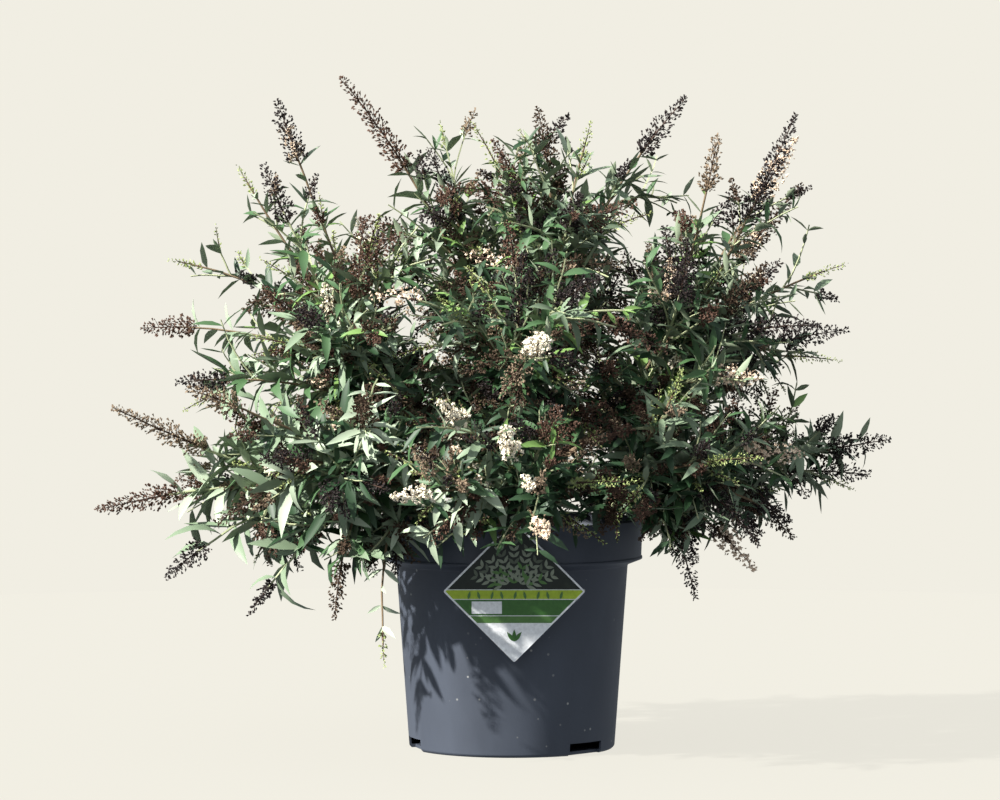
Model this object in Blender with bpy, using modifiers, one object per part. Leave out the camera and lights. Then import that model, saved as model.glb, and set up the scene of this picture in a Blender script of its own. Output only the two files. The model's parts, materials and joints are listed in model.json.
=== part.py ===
"""A butterfly bush in a round nursery pot, as separate named solids.

The origin is the centre of the pot's flat underside, +Z is up and -Y is the front, where the label
hangs. Lengths are in metres. A short woody stem stands in the pot and carries sixteen boughs, and
each bough carries one mass of foliage: a stem that forks into shoots, with pairs of long leaves
and a flower spike at the end of each shoot. The masses share the crown out by direction as seen
from the crown's heart, so each keeps to a space of its own.
"""

import math
import random
from typing import NamedTuple

import bmesh
import bpy
from mathutils import Matrix, Vector
from mathutils.bvhtree import BVHTree

CLEARANCE = 0.0003

# Pot: a thin moulded shell with a deep collar, and slots cut in the foot of its wall.
POT_HEIGHT = 0.245
POT_SIDES = 40
COLLAR_TOP_RADIUS = 0.140
COLLAR_LOW_RADIUS = 0.1385
COLLAR_DEPTH = 0.042
COLLAR_STEP_DEPTH = 0.006
BODY_TOP_RADIUS = 0.124
BODY_FOOT_RADIUS = 0.110
POT_WALL = 0.0024
POT_FLOOR = 0.0035
FOOT_BEVEL = 0.0025
SLOT_COUNT = 3
SLOT_FIRST_TURN = 46.0
SLOT_WIDTH = 0.048
SLOT_HEIGHT = 0.013
SLOT_DEPTH = 0.012

# Compost
SOIL_BELOW_RIM = 0.020
SOIL_TOP = POT_HEIGHT - SOIL_BELOW_RIM

# Label: a square card hung by one corner, with a strap over the pot's rim.
LABEL_DIAGONAL = 0.1484
LABEL_THICKNESS = 0.0009
LABEL_TOP_ABOVE_RIM = 0.007
LABEL_SIDESTEP = 0.002
STRAP_WIDTH = 0.010
STRAP_DROP = 0.016
STRAP_INSET = 0.0015

# Stem: the woody foot of the shrub.
STEM_FOOT = SOIL_TOP + CLEARANCE
STEM_HEIGHT = 0.052
STEM_SIDES = 16
# Radius at each share of the stem's height, from its domed top down to the root flare.
STEM_PROFILE = ((0.0, 1.0), (0.010, 0.97), (0.0155, 0.86), (0.0165, 0.62), (0.0155, 0.35), (0.018, 0.14), (0.025, 0.0))

# Boughs and the masses of foliage, ring by ring: name, how many, how high they point in degrees,
# the turn of the first one from the front, where the bough leaves the stem as a share of its
# height, and how high the bough's tip lies as seen from the heart.
HEART = Vector((0.0, 0.0, 0.250))
RINGS = (
    ("low", 8, 4.0, 0.0, 0.32, 13.0),
    ("middle", 6, 42.0, 0.0, 0.58, 40.0),
    ("top", 2, 76.0, 30.0, 0.93, 74.0),
)
SIDES = ("front", "front_right", "right", "back_right", "back", "back_left", "left", "front_left")
BOUGH_REACH = 0.125
BOUGH_BASE_RADIUS = 0.0042
BOUGH_TIP_RADIUS = 0.0028
BOUGH_POINTS = 5
BOUGH_ARCH = 0.14
CELL_MARGIN = 0.0008

# Shoots that stand out in the front view, at the outline or in bloom: degrees from straight up, to the right;
# reach from the heart in that view; how far the tip comes forward; length and kind of its spike.
LEADING_SHOOTS = (
    (-21.5, 0.502, -0.04, 0.110, "seed"),
    (-29.8, 0.512, -0.08, 0.062, "seed"),
    (-35.0, 0.454, 0.10, 0.058, "seed"),
    (-38.8, 0.480, -0.13, 0.034, "bud"),
    (-46.7, 0.357, 0.14, 0.082, "seed"),
    (-54.1, 0.463, -0.11, 0.034, "bud"),
    (-64.2, 0.451, -0.13, 0.052, "seed"),
    (-68.8, 0.380, 0.12, 0.045, "seed"),
    (-74.7, 0.438, 0.05, 0.100, "seed"),
    (-89.2, 0.442, 0.03, 0.080, "seed"),
    (-99.5, 0.368, 0.11, 0.050, "seed"),
    (-109.5, 0.292, 0.13, 0.032, "seed"),
    (-118.0, 0.208, 0.19, 0.045, "seed"),
    (-138.0, 0.196, 0.215, 0.026, "bud"),
    (-10.5, 0.428, -0.08, 0.026, "bud"),
    (-5.8, 0.420, 0.05, 0.052, "bud"),
    (3.6, 0.433, 0.04, 0.060, "seed"),
    (8.2, 0.434, -0.07, 0.046, "seed"),
    (11.2, 0.428, 0.09, 0.040, "bud"),
    (22.6, 0.4815, 0.01, 0.068, "seed"),
    (27.0, 0.457, 0.10, 0.052, "seed"),
    (35.1, 0.520, 0.06, 0.112, "seed"),
    (37.4, 0.508, -0.09, 0.070, "bloom"),
    (41.9, 0.474, -0.12, 0.100, "seed"),
    (44.5, 0.377, 0.14, 0.070, "seed"),
    (54.0, 0.454, -0.12, 0.042, "bud"),
    (57.5, 0.380, 0.13, 0.070, "seed"),
    (66.2, 0.396, -0.13, 0.050, "bud"),
    (78.5, 0.409, 0.04, 0.062, "seed"),
    (90.0, 0.292, 0.13, 0.034, "seed"),
    (101.2, 0.259, 0.12, 0.046, "bloom"),
    (112.5, 0.206, 0.16, 0.066, "seed"),
    (-26.0, 0.350, 0.16, 0.078, "seed"),
    (27.0, 0.345, 0.17, 0.074, "seed"),
    (9.5, 0.199, 0.345, 0.075, "bloom"),
    (-28.4, 0.153, 0.360, 0.040, "bloom"),
    (-4.9, 0.110, 0.375, 0.046, "bloom"),
    (-72.0, 0.127, 0.365, 0.042, "bloom"),
    (88.0, 0.033, 0.380, 0.038, "bloom"),
    (60.4, 0.293, 0.200, 0.050, "bloom"),
    (76.6, 0.310, 0.150, 0.058, "bloom"),
)

# Shoots that fill the rest of the crown, spread evenly over its dome by the golden angle.
FILLING_SHOOTS = 72
CROWN_REACH = 0.425
CROWN_REACH_SPREAD = 0.18
CROWN_SIDE_DROOP = 13.0
CROWN_FRONT_RISE = 4.0
CROWN_SKIRT = 0.28
CROWN_SKIRT_RISE = 26.0
LEAD_SPACING = 9.0
GOLDEN_TURN = math.pi * (3.0 - math.sqrt(5.0))
SEED = 4100

# Kinds of flower spike: widest radius as a share of its length, and the most it may be.
SPIKE_GIRTH = {"seed": (0.16, 0.0110), "bud": (0.15, 0.0065), "bloom": (0.24, 0.0140)}
SPIKE_SIDES = 5
SPIKE_PROFILE = ((0.0, 1.0), (0.60, 0.74), (1.0, 0.16), (0.0, 0.0))
FILLING_SPIKE = (0.045, 0.090)

# Shoots: three-sided twigs that arch over as they leave the stem.
SHOOT_POINTS = 5
STEM_TWIG_RADIUS = 0.0027
SHOOT_BASE_RADIUS = 0.0021
SHOOT_TIP_RADIUS = 0.0012
SHOOT_STRAIGHT = 0.008
SHOOT_ARCH = 0.13
SHOOT_ARCH_SPREAD = 0.07
FIRST_FORK = 0.07
LAST_FORK = 0.50

# Leaves: pairs set crosswise along each shoot, larger than life because there are fewer of them.
LEAF_LENGTH = 0.118
LEAF_WIDTH = 0.040
LEAF_THICKNESS = 0.0026
LEAF_WIDEST = 0.42
LEAF_SPACING = 0.046
LEAF_FIRST_SHARE = 0.24
LEAF_FITS = ((1.0, 60.0), (0.95, 36.0), (0.8, 84.0), (0.62, 48.0))
LEAF_OUTWARD = 1.1
LEAF_TILT = 0.6
LEAF_DROOP = 0.20
LEAF_ROOT_SUNK = 0.0016
LEAF_TAPER = 0.20
LEAF_CLEAR_OF_TWIG = 0.010
TOUCH_GAP = 0.0015
LABEL_SIGHT = 0.30


# The growth rule: where shoots end, which mass each belongs to and how it gets there.


class Shoot(NamedTuple):
    """One shoot of the crown: its number, where its tip is, and the spike that ends it."""

    number: int
    tip: Vector
    spike: float
    kind: str


class Mass(NamedTuple):
    """One mass of foliage: its direction from the heart, and how its bough runs."""

    name: str
    axis: Vector
    root: Vector
    entry: Vector


def direction(turn, rise):
    """Unit vector at a turn from the front, anticlockwise from above, and a rise, in degrees."""
    turn, rise = math.radians(turn), math.radians(rise)
    return Vector((math.sin(turn) * math.cos(rise), -math.cos(turn) * math.cos(rise), math.sin(rise)))


def plan_masses():
    """The masses of the three rings, named for the side they are on."""
    masses = []
    for ring, count, rise, first, share, entry_rise in RINGS:
        for k in range(count):
            turn = first + 360.0 * k / count
            root = Vector((0.0, 0.0, STEM_FOOT + STEM_HEIGHT * share))
            if ring == "top":
                root += 0.5 * STEM_PROFILE[1][0] * direction(turn, 0.0)
            entry = HEART + BOUGH_REACH * direction(turn, entry_rise)
            side = SIDES[round(turn / 45.0) % len(SIDES)]
            masses.append(Mass(f"{ring}_{side}", direction(turn, rise), root, entry))
    return masses


def leading_shoots():
    """The shoots that give the crown its outline from the front."""
    shoots = []
    for number, (clock, reach, forward, spike, kind) in enumerate(LEADING_SHOOTS):
        side, up = math.sin(math.radians(clock)), math.cos(math.radians(clock))
        tip = HEART + Vector((reach * side, -forward, reach * up))
        shoots.append(Shoot(number, tip, spike, kind))
    return shoots


def filling_shoots(leading):
    """Shoots over the rest of the dome, none of them close beside a leading one."""
    shoots = []
    for k in range(FILLING_SHOOTS):
        rng = random.Random(SEED + k)
        turn = k * GOLDEN_TURN
        lowest = CROWN_FRONT_RISE - (CROWN_FRONT_RISE + CROWN_SIDE_DROOP) * math.sin(turn) ** 2
        low = math.sin(math.radians(lowest))
        rise = math.degrees(math.asin(low + (1.0 - low) * (k + 0.5) / FILLING_SHOOTS))
        reach = CROWN_REACH * (1.0 - CROWN_REACH_SPREAD * rng.random())
        reach *= 1.0 - CROWN_SKIRT * max(0.0, 1.0 - (rise + CROWN_SIDE_DROOP) / CROWN_SKIRT_RISE)
        spike = rng.uniform(*FILLING_SPIKE)
        kind = rng.choices(("seed", "bud", "bloom"), (7, 2, 1))[0]
        way = direction(math.degrees(turn), rise)
        beside = min(math.degrees(way.angle(lead.tip - HEART)) for lead in leading)
        if beside > LEAD_SPACING:
            shoots.append(Shoot(len(leading) + k, HEART + reach * way, spike, kind))
    return shoots


def room_in_cell(point, mass, masses):
    """Distance from a point to the nearest side of its mass's space; negative outside it."""
    offset = point - HEART
    return min(offset.dot((mass.axis - other.axis).normalized()) for other in masses if other is not mass)


def kept_in_cell(point, mass, masses, margin):
    """The point, moved just far enough to lie in its mass's space by the margin."""
    point = point.copy()
    for _ in range(3):
        for other in masses:
            if other is mass:
                continue
            side = (mass.axis - other.axis).normalized()
            short = margin - (point - HEART).dot(side)
            if short > 0.0:
                point += short * side
    return point


def curve_between(start, control, end, count):
    """Points along the bend from start to end that leaves start towards control."""
    points = []
    for k in range(count):
        t = k / (count - 1)
        points.append((1 - t) ** 2 * start + 2 * t * (1 - t) * control + t * t * end)
    return points


def at_share(points, share):
    """The point at a share of a path's points, and the path's direction there."""
    place = min(max(share, 0.0), 1.0) * (len(points) - 1)
    k = min(int(place), len(points) - 2)
    step = points[k + 1] - points[k]
    return points[k] + (place - k) * step, step.normalized()


def arched(start, end, share):
    """A control point that bends the way from start to end upwards, by a share of its length."""
    chord = end - start
    up = Vector((0.0, 0.0, 1.0))
    lift = up - chord.normalized() * up.dot(chord.normalized())
    return start + 0.5 * chord + share * chord.length * lift


def bough_path(mass):
    """From inside the stem to the bough's tip."""
    return curve_between(mass.root, arched(mass.root, mass.entry, BOUGH_ARCH), mass.entry, BOUGH_POINTS)


def shares_of(shoots, masses):
    """The shoots of each mass, the one nearest its axis first."""
    shares = {mass.name: [] for mass in masses}
    for shoot in shoots:
        way = (shoot.tip - HEART).normalized()
        mass = max(masses, key=lambda m: m.axis.dot(way))
        shares[mass.name].append(shoot)
    for mass in masses:
        shares[mass.name].sort(key=lambda s: mass.axis.angle(s.tip - HEART))
    return shares


def shoot_paths(mass, shoots, masses):
    """The path of each shoot of a mass. The first is the mass's stem, and the rest fork from it."""
    paths = []
    for rank, shoot in enumerate(shoots):
        rng = random.Random(SEED * 2 + shoot.number)
        arch = SHOOT_ARCH + rng.uniform(-SHOOT_ARCH_SPREAD, SHOOT_ARCH_SPREAD)
        margin = SPIKE_GIRTH[shoot.kind][1] + CELL_MARGIN
        tip = kept_in_cell(shoot.tip, mass, masses, margin)
        if rank == 0:
            end_of_bough, heading = at_share(bough_path(mass), 1.0)
            start = end_of_bough + CLEARANCE * heading
        else:
            share = LAST_FORK - (LAST_FORK - FIRST_FORK) * rank / len(shoots)
            start, heading = at_share(paths[0], share)
        first = start + SHOOT_STRAIGHT * heading
        control = 0.5 * arched(first, tip, arch) + 0.5 * (first + 0.5 * (tip - first).length * heading)
        bend = curve_between(first, control, tip, SHOOT_POINTS - 1)
        paths.append([start, first] + [kept_in_cell(p, mass, masses, margin) for p in bend[1:]])
    return paths


def path_length(points):
    return sum((b - a).length for a, b in zip(points, points[1:]))


def spike_base(points, spike):
    """Share of the path at which the spike on its end begins."""
    return max(0.35, 1.0 - spike / path_length(points))


# Shapes in Blender


def clear_scene():
    for obj in list(bpy.data.objects):
        bpy.data.objects.remove(obj)


def make_collection(name):
    collection = bpy.data.collections.new(name)
    bpy.context.scene.collection.children.link(collection)
    return collection


def make_material(name, colour, roughness):
    material = bpy.data.materials.new(name)
    material.use_nodes = True
    shader = material.node_tree.nodes["Principled BSDF"]
    shader.inputs["Base Color"].default_value = (*colour, 1.0)
    shader.inputs["Roughness"].default_value = roughness
    shader.inputs["Metallic"].default_value = 0.0
    material.diffuse_color = (*colour, 1.0)
    return material


def add_object(name, data, collection, matrix=None):
    obj = bpy.data.objects.new(name, data)
    if matrix is not None:
        obj.matrix_world = matrix
    collection.objects.link(obj)
    return obj


def settled_mesh(obj):
    """A plain mesh of the object as its modifiers leave it."""
    bpy.context.view_layer.update()
    graph = bpy.context.evaluated_depsgraph_get()
    return bpy.data.meshes.new_from_object(obj.evaluated_get(graph))


def closed_mesh(obj):
    """The object's settled mesh with its caps welded on and every face outward."""
    mesh = settled_mesh(obj)
    shape = bmesh.new()
    shape.from_mesh(mesh)
    bmesh.ops.remove_doubles(shape, verts=shape.verts, dist=1e-6)
    bmesh.ops.recalc_face_normals(shape, faces=shape.faces)
    shape.to_mesh(mesh)
    shape.free()
    return mesh


def turned_mesh(name, profile, sides, collection):
    """A solid turned about Z. The profile starts on the axis and runs down the outer side."""
    line = bpy.data.meshes.new(name)
    edges = [(k, k + 1) for k in range(len(profile) - 1)]
    line.from_pydata([(radius, 0.0, height) for radius, height in profile], edges, [])
    obj = add_object(name, line, collection)
    screw = obj.modifiers.new("Turn", "SCREW")
    screw.steps = screw.render_steps = sides
    screw.use_merge_vertices = True
    screw.merge_threshold = 1e-5
    mesh = closed_mesh(obj)
    bpy.data.objects.remove(obj)
    return mesh


def tube_mesh(name, points, radii, collection, profile=None):
    """A tapering tube along the points: round, or with the section of the profile curve."""
    curve = bpy.data.curves.new(name, "CURVE")
    curve.dimensions = "3D"
    curve.use_fill_caps = True
    if profile is None:
        curve.bevel_depth = 1.0
        curve.bevel_resolution = 1
    else:
        curve.bevel_mode = "OBJECT"
        curve.bevel_object = profile
    spline = curve.splines.new("POLY")
    spline.points.add(len(points) - 1)
    for place, point, radius in zip(spline.points, points, radii):
        place.co = (*point, 1.0)
        place.radius = radius
    obj = add_object(name, curve, collection)
    mesh = closed_mesh(obj)
    bpy.data.objects.remove(obj)
    return mesh


def tapering(base, tip, count):
    return [base + (tip - base) * k / (count - 1) for k in range(count)]


def flat_mesh(name, outline, thickness, collection):
    """A flat plate of the outline in XY, centred on Z."""
    curve = bpy.data.curves.new(name, "CURVE")
    curve.dimensions = "2D"
    curve.fill_mode = "BOTH"
    curve.extrude = 0.5 * thickness
    spline = curve.splines.new("POLY")
    spline.use_cyclic_u = True
    spline.points.add(len(outline) - 1)
    for place, (x, y) in zip(spline.points, outline):
        place.co = (x, y, 0.0, 1.0)
    obj = add_object(name, curve, collection)
    mesh = closed_mesh(obj)
    bpy.data.objects.remove(obj)
    return mesh


def apply_boolean(obj, operation, solver="EXACT", cutter=None, collection=None):
    """Joins or cuts the object by one object or by a collection, and keeps the result as its mesh."""
    boolean = obj.modifiers.new("Shape", "BOOLEAN")
    boolean.operation = operation
    boolean.solver = solver
    if collection is None:
        boolean.object = cutter
    else:
        boolean.operand_type = "COLLECTION"
        boolean.collection = collection
    mesh = settled_mesh(obj)
    obj.modifiers.clear()
    obj.data = mesh


def keep_largest_piece(mesh):
    """Drops loose scraps and sealed hollows, leaving the one body with the most corners."""
    shape = bmesh.new()
    shape.from_mesh(mesh)
    unseen = set(shape.verts)
    pieces = []
    while unseen:
        piece, front = set(), [unseen.pop()]
        while front:
            corner = front.pop()
            piece.add(corner)
            for edge in corner.link_edges:
                other = edge.other_vert(corner)
                if other in unseen:
                    unseen.remove(other)
                    front.append(other)
        pieces.append(piece)
    pieces.sort(key=len)
    scraps = [corner for piece in pieces[:-1] for corner in piece]
    bmesh.ops.delete(shape, geom=scraps, context="VERTS")
    bmesh.ops.triangulate(shape, faces=shape.faces)
    shape.to_mesh(mesh)
    shape.free()


# Pieces: the pot and what is in it


def pot_profile():
    """Down from the middle of the floor inside, over the rim, and down the outside."""
    step_top = POT_HEIGHT - COLLAR_DEPTH
    step_low = step_top - COLLAR_STEP_DEPTH
    return (
        (0.0, POT_FLOOR),
        (BODY_FOOT_RADIUS - POT_WALL, POT_FLOOR),
        (BODY_TOP_RADIUS - POT_WALL, step_low),
        (COLLAR_LOW_RADIUS - POT_WALL, step_top + POT_WALL),
        (COLLAR_TOP_RADIUS - POT_WALL, POT_HEIGHT),
        (COLLAR_TOP_RADIUS, POT_HEIGHT),
        (COLLAR_LOW_RADIUS, step_top),
        (BODY_TOP_RADIUS, step_low),
        (BODY_FOOT_RADIUS, FOOT_BEVEL),
        (BODY_FOOT_RADIUS - FOOT_BEVEL, 0.0),
        (0.0, 0.0),
    )


def add_pot(part, cutters):
    pot = add_object("pot", turned_mesh("pot", pot_profile(), POT_SIDES, part), part)
    for k in range(SLOT_COUNT):
        turn = SLOT_FIRST_TURN + 360.0 * k / SLOT_COUNT
        middle = (BODY_FOOT_RADIUS + FOOT_BEVEL - 0.5 * SLOT_DEPTH) * direction(turn, 0.0)
        bpy.ops.mesh.primitive_cube_add(size=1.0, location=middle, rotation=(0.0, 0.0, math.radians(turn)))
        slot = bpy.context.object
        slot.name = f"pot_slot_{k + 1}"
        slot.scale = (SLOT_WIDTH, SLOT_DEPTH, 2.0 * SLOT_HEIGHT)
        slot.hide_render = True
        slot.display_type = "WIRE"
        for holder in list(slot.users_collection):
            holder.objects.unlink(slot)
        cutters.objects.link(slot)
        apply_boolean(pot, "DIFFERENCE", cutter=slot)
    return pot


def add_soil(part):
    """Compost that fills the pot to a little below its rim."""
    gap = POT_WALL + 1.5 * CLEARANCE
    step_top = POT_HEIGHT - COLLAR_DEPTH
    collar_slope = (COLLAR_TOP_RADIUS - COLLAR_LOW_RADIUS) / COLLAR_DEPTH
    profile = (
        (0.0, SOIL_TOP),
        (COLLAR_LOW_RADIUS - gap + collar_slope * (SOIL_TOP - step_top), SOIL_TOP),
        (COLLAR_LOW_RADIUS - gap, step_top + POT_WALL + CLEARANCE),
        (BODY_TOP_RADIUS - gap, step_top - COLLAR_STEP_DEPTH + CLEARANCE),
        (BODY_FOOT_RADIUS - gap, POT_FLOOR + CLEARANCE),
        (0.0, POT_FLOOR + CLEARANCE),
    )
    return add_object("soil", turned_mesh("soil", profile, POT_SIDES, part), part)


def label_place():
    """Stands a card drawn flat upright before the collar, with its top corner just above the rim."""
    forward = COLLAR_TOP_RADIUS + CLEARANCE + 0.5 * LABEL_THICKNESS
    middle = Vector((LABEL_SIDESTEP, -forward, POT_HEIGHT + LABEL_TOP_ABOVE_RIM - 0.5 * LABEL_DIAGONAL))
    return Matrix.Translation(middle) @ Matrix.Rotation(math.radians(90.0), 4, "X")


def add_label(part):
    """The card hangs in front of the collar, and its strap hooks over the rim behind it."""
    half = 0.5 * LABEL_DIAGONAL
    card_outline = ((0.0, half), (-half, 0.0), (0.0, -half), (half, 0.0))
    card = flat_mesh("label", card_outline, LABEL_THICKNESS, part)
    label = add_object("label", card, part, label_place())

    front = COLLAR_TOP_RADIUS + CLEARANCE + 0.5 * LABEL_THICKNESS
    inside = COLLAR_TOP_RADIUS - POT_WALL - STRAP_INSET
    low, under = POT_HEIGHT - STRAP_DROP, POT_HEIGHT + CLEARANCE
    over = under + LABEL_THICKNESS
    behind = inside - LABEL_THICKNESS
    strap_outline = ((-front, under), (-front, over), (-behind, over), (-behind, low), (-inside, low), (-inside, under))
    strap = flat_mesh("label_strap", strap_outline, STRAP_WIDTH, part)
    upright = Matrix.Rotation(math.radians(90.0), 4, "X")
    sideways = Matrix.Rotation(math.radians(90.0), 4, "Z") @ upright
    place = Matrix.Translation((LABEL_SIDESTEP, 0.0, 0.0)) @ sideways
    strap_object = add_object("label_strap", strap, part, place)
    apply_boolean(label, "UNION", cutter=strap_object)
    bpy.data.objects.remove(strap_object)
    return label


# Pieces: stem and boughs


def stem_mesh(extra, part):
    """The stem's turned shape about its own foot, thicker all round by extra."""
    profile = []
    for radius, share in STEM_PROFILE:
        height = STEM_HEIGHT * share
        if radius > 0.0:
            profile.append((radius + extra, height))
        else:
            profile.append((0.0, height + extra))
    profile.append((0.0, -extra))
    return turned_mesh("stem", profile, STEM_SIDES, part)


def add_stem(part):
    return add_object("stem", stem_mesh(0.0, part), part, Matrix.Translation((0.0, 0.0, STEM_FOOT)))


def add_bough(mass, part, fitted_stem):
    """One tapering limb, cut to fit against the stem."""
    points = bough_path(mass)
    radii = tapering(BOUGH_BASE_RADIUS, BOUGH_TIP_RADIUS, len(points))
    mesh = tube_mesh(f"bough_{mass.name}", points, radii, part)
    bough = add_object(f"bough_{mass.name}", mesh, part)
    apply_boolean(bough, "DIFFERENCE", cutter=fitted_stem)
    keep_largest_piece(bough.data)
    return bough


# Pieces: masses of foliage


def leaf_mesh():
    """One leaf of six faces: root at the origin, tip along +X, and its rib standing up along +Z."""
    shape = bmesh.new()
    bmesh.ops.create_uvsphere(shape, u_segments=3, v_segments=2, radius=1.0)
    for corner in shape.verts:
        rib, side, along = corner.co
        side /= -math.sin(math.radians(120.0))
        middle, beyond = 1.0 - abs(along), max(along, 0.0)
        reach = LEAF_LENGTH * (LEAF_WIDEST * middle + beyond) - LEAF_ROOT_SUNK * max(-along, 0.0)
        height = LEAF_THICKNESS * max(rib, 0.0) - LEAF_DROOP * LEAF_LENGTH * beyond
        corner.co = (reach, 0.5 * LEAF_WIDTH * side, height)
    mesh = bpy.data.meshes.new("leaf")
    shape.to_mesh(mesh)
    shape.free()
    return mesh


def frame_matrix(place, along, upper, scale):
    """A matrix that sets local X along a direction and local Z as near to upper as it can be."""
    across = upper.cross(along).normalized()
    level = along.cross(across)
    turn = Matrix((along, across, level)).transposed().to_4x4()
    return Matrix.Translation(place) @ turn @ Matrix.Diagonal((*scale, 1.0))


def leaf_sites(points, last_share, number):
    """For each leaf along a shoot, the ways it may stand, the fullest first. Pairs are set crosswise."""
    rng = random.Random(SEED * 3 + number)
    stretch = (last_share - LEAF_FIRST_SHARE) * path_length(points)
    pairs = max(1, round(stretch / LEAF_SPACING))
    sites = []
    for k in range(pairs):
        share = LEAF_FIRST_SHARE + (last_share - LEAF_FIRST_SHARE) * (k + 0.7) / pairs
        place, along = at_share(points, share)
        flat = along.cross(Vector((0.0, 0.0, 1.0)))
        level = flat.normalized() if flat.length > 0.05 else Vector((1.0, 0.0, 0.0))
        outward = (place - HEART).normalized()
        for way in (-1.0, 1.0):
            roll = math.radians(90.0 * (k % 2) + rng.uniform(-25.0, 25.0))
            side = way * (Matrix.Rotation(roll, 3, along) @ level)
            tilt = Vector([rng.uniform(-LEAF_TILT, LEAF_TILT) for _ in range(3)])
            upper = Vector((0.0, 0.0, 1.0)) + LEAF_OUTWARD * outward + tilt
            grown = (1.0 - LEAF_TAPER * k / pairs) * rng.uniform(0.88, 1.06)
            ways = []
            for share_of_size, angle in LEAF_FITS:
                lean = math.radians(angle)
                heading = (math.cos(lean) * along + math.sin(lean) * side).normalized()
                size = grown * share_of_size
                ways.append(frame_matrix(place, heading, upper, (size, size, size)))
            sites.append(ways)
    return sites


def solid_tree(mesh, matrix=None):
    """A search tree of a mesh's faces, for finding what they cut through."""
    corners = [corner.co if matrix is None else matrix @ corner.co for corner in mesh.vertices]
    return BVHTree.FromPolygons(corners, [face.vertices for face in mesh.polygons])


def blade_tree(matrix, mesh):
    """A leaf's search tree, with its root drawn out of the twig that it grows from."""
    corners = [corner.co.copy() for corner in mesh.vertices]
    min(corners, key=lambda corner: corner.x).x = LEAF_CLEAR_OF_TWIG
    placed = [matrix @ corner for corner in corners]
    return BVHTree.FromPolygons(placed, [face.vertices for face in mesh.polygons])


def lies_in_cell(matrix, mesh, mass, masses):
    """Whether the whole of a placed mesh is in the mass's space. The space is convex, so corners tell."""
    return all(room_in_cell(matrix @ corner.co, mass, masses) > CELL_MARGIN for corner in mesh.vertices)


def touches(tree, others):
    return any(tree.overlap(other) for other in others)


def add_keep_outs(masses, part):
    """Search trees, a little larger than life, of all that foliage keeps clear of."""
    rim = POT_HEIGHT + LABEL_TOP_ABOVE_RIM + TOUCH_GAP
    collar = COLLAR_TOP_RADIUS + TOUCH_GAP
    pot = turned_mesh("keep_out", ((0.0, rim), (collar, rim), (collar, -TOUCH_GAP), (0.0, -TOUCH_GAP)), 24, part)
    half = 0.5 * LABEL_DIAGONAL + 2.0 * TOUCH_GAP
    sight = flat_mesh("keep_out", ((0.0, half), (-half, 0.0), (0.0, -half), (half, 0.0)), LABEL_SIGHT, part)
    before_label = label_place() @ Matrix.Translation((0.0, 0.0, 0.5 * LABEL_SIGHT - TOUCH_GAP))
    trees = [solid_tree(pot), solid_tree(sight, before_label)]
    for mass in masses:
        points = bough_path(mass)
        radii = tapering(BOUGH_BASE_RADIUS + TOUCH_GAP, BOUGH_TIP_RADIUS + TOUCH_GAP, len(points))
        trees.append(solid_tree(tube_mesh("keep_out", points, radii, part)))
    return trees


def spike_matrix(points, shoot):
    """Stands the spike pattern on the end of its shoot."""
    base, _ = at_share(points, spike_base(points, shoot.spike))
    along = points[-1] - base
    share, most = SPIKE_GIRTH[shoot.kind]
    girth = min(share * along.length, most)
    turn = Vector((0.0, 0.0, 1.0)).rotation_difference(along.normalized()).to_matrix().to_4x4()
    return Matrix.Translation(base) @ turn @ Matrix.Diagonal((girth, girth, along.length, 1.0))


def add_mass(mass, shoots, masses, keep_outs, patterns, part):
    """A stem, the shoots that fork from it, their spikes and their leaves, fused into one body."""
    pieces = make_collection(f"{mass.name}_pieces")
    grown, taken = [], list(keep_outs)
    stem = None
    for rank, (shoot, points) in enumerate(zip(shoots, shoot_paths(mass, shoots, masses))):
        base = STEM_TWIG_RADIUS if rank == 0 else SHOOT_BASE_RADIUS
        radii = tapering(base, SHOOT_TIP_RADIUS, len(points))
        twig = tube_mesh("twig", points[:-1] + [points[-2].lerp(points[-1], 0.6)], radii, part, patterns["triangle"])
        if rank == 0:
            stem = add_object(f"foliage_{mass.name}", twig, part)
        elif touches(solid_tree(twig), keep_outs):
            continue
        else:
            add_object("twig", twig, pieces)
        spike_place = spike_matrix(points, shoot)
        add_object("spike", patterns["spike"], pieces, spike_place)
        taken += [solid_tree(twig), solid_tree(patterns["spike"], spike_place)]
        grown.append((shoot, points))
    for shoot, points in grown:
        for ways in leaf_sites(points, spike_base(points, shoot.spike), shoot.number):
            for matrix in ways:
                blade = blade_tree(matrix, patterns["leaf"])
                if lies_in_cell(matrix, patterns["leaf"], mass, masses) and not touches(blade, taken):
                    add_object("leaf", patterns["leaf"], pieces, matrix)
                    taken.append(blade)
                    break
    apply_boolean(stem, "UNION", solver="MANIFOLD", collection=pieces)
    keep_largest_piece(stem.data)
    for obj in list(pieces.objects):
        bpy.data.objects.remove(obj)
    bpy.data.collections.remove(pieces)
    return stem


def finish(obj, material, smooth_under=None):
    obj.data.materials.clear()
    obj.data.materials.append(material)
    if smooth_under is not None:
        obj.data.shade_smooth()
        obj.data.set_sharp_from_angle(angle=math.radians(smooth_under))


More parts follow.
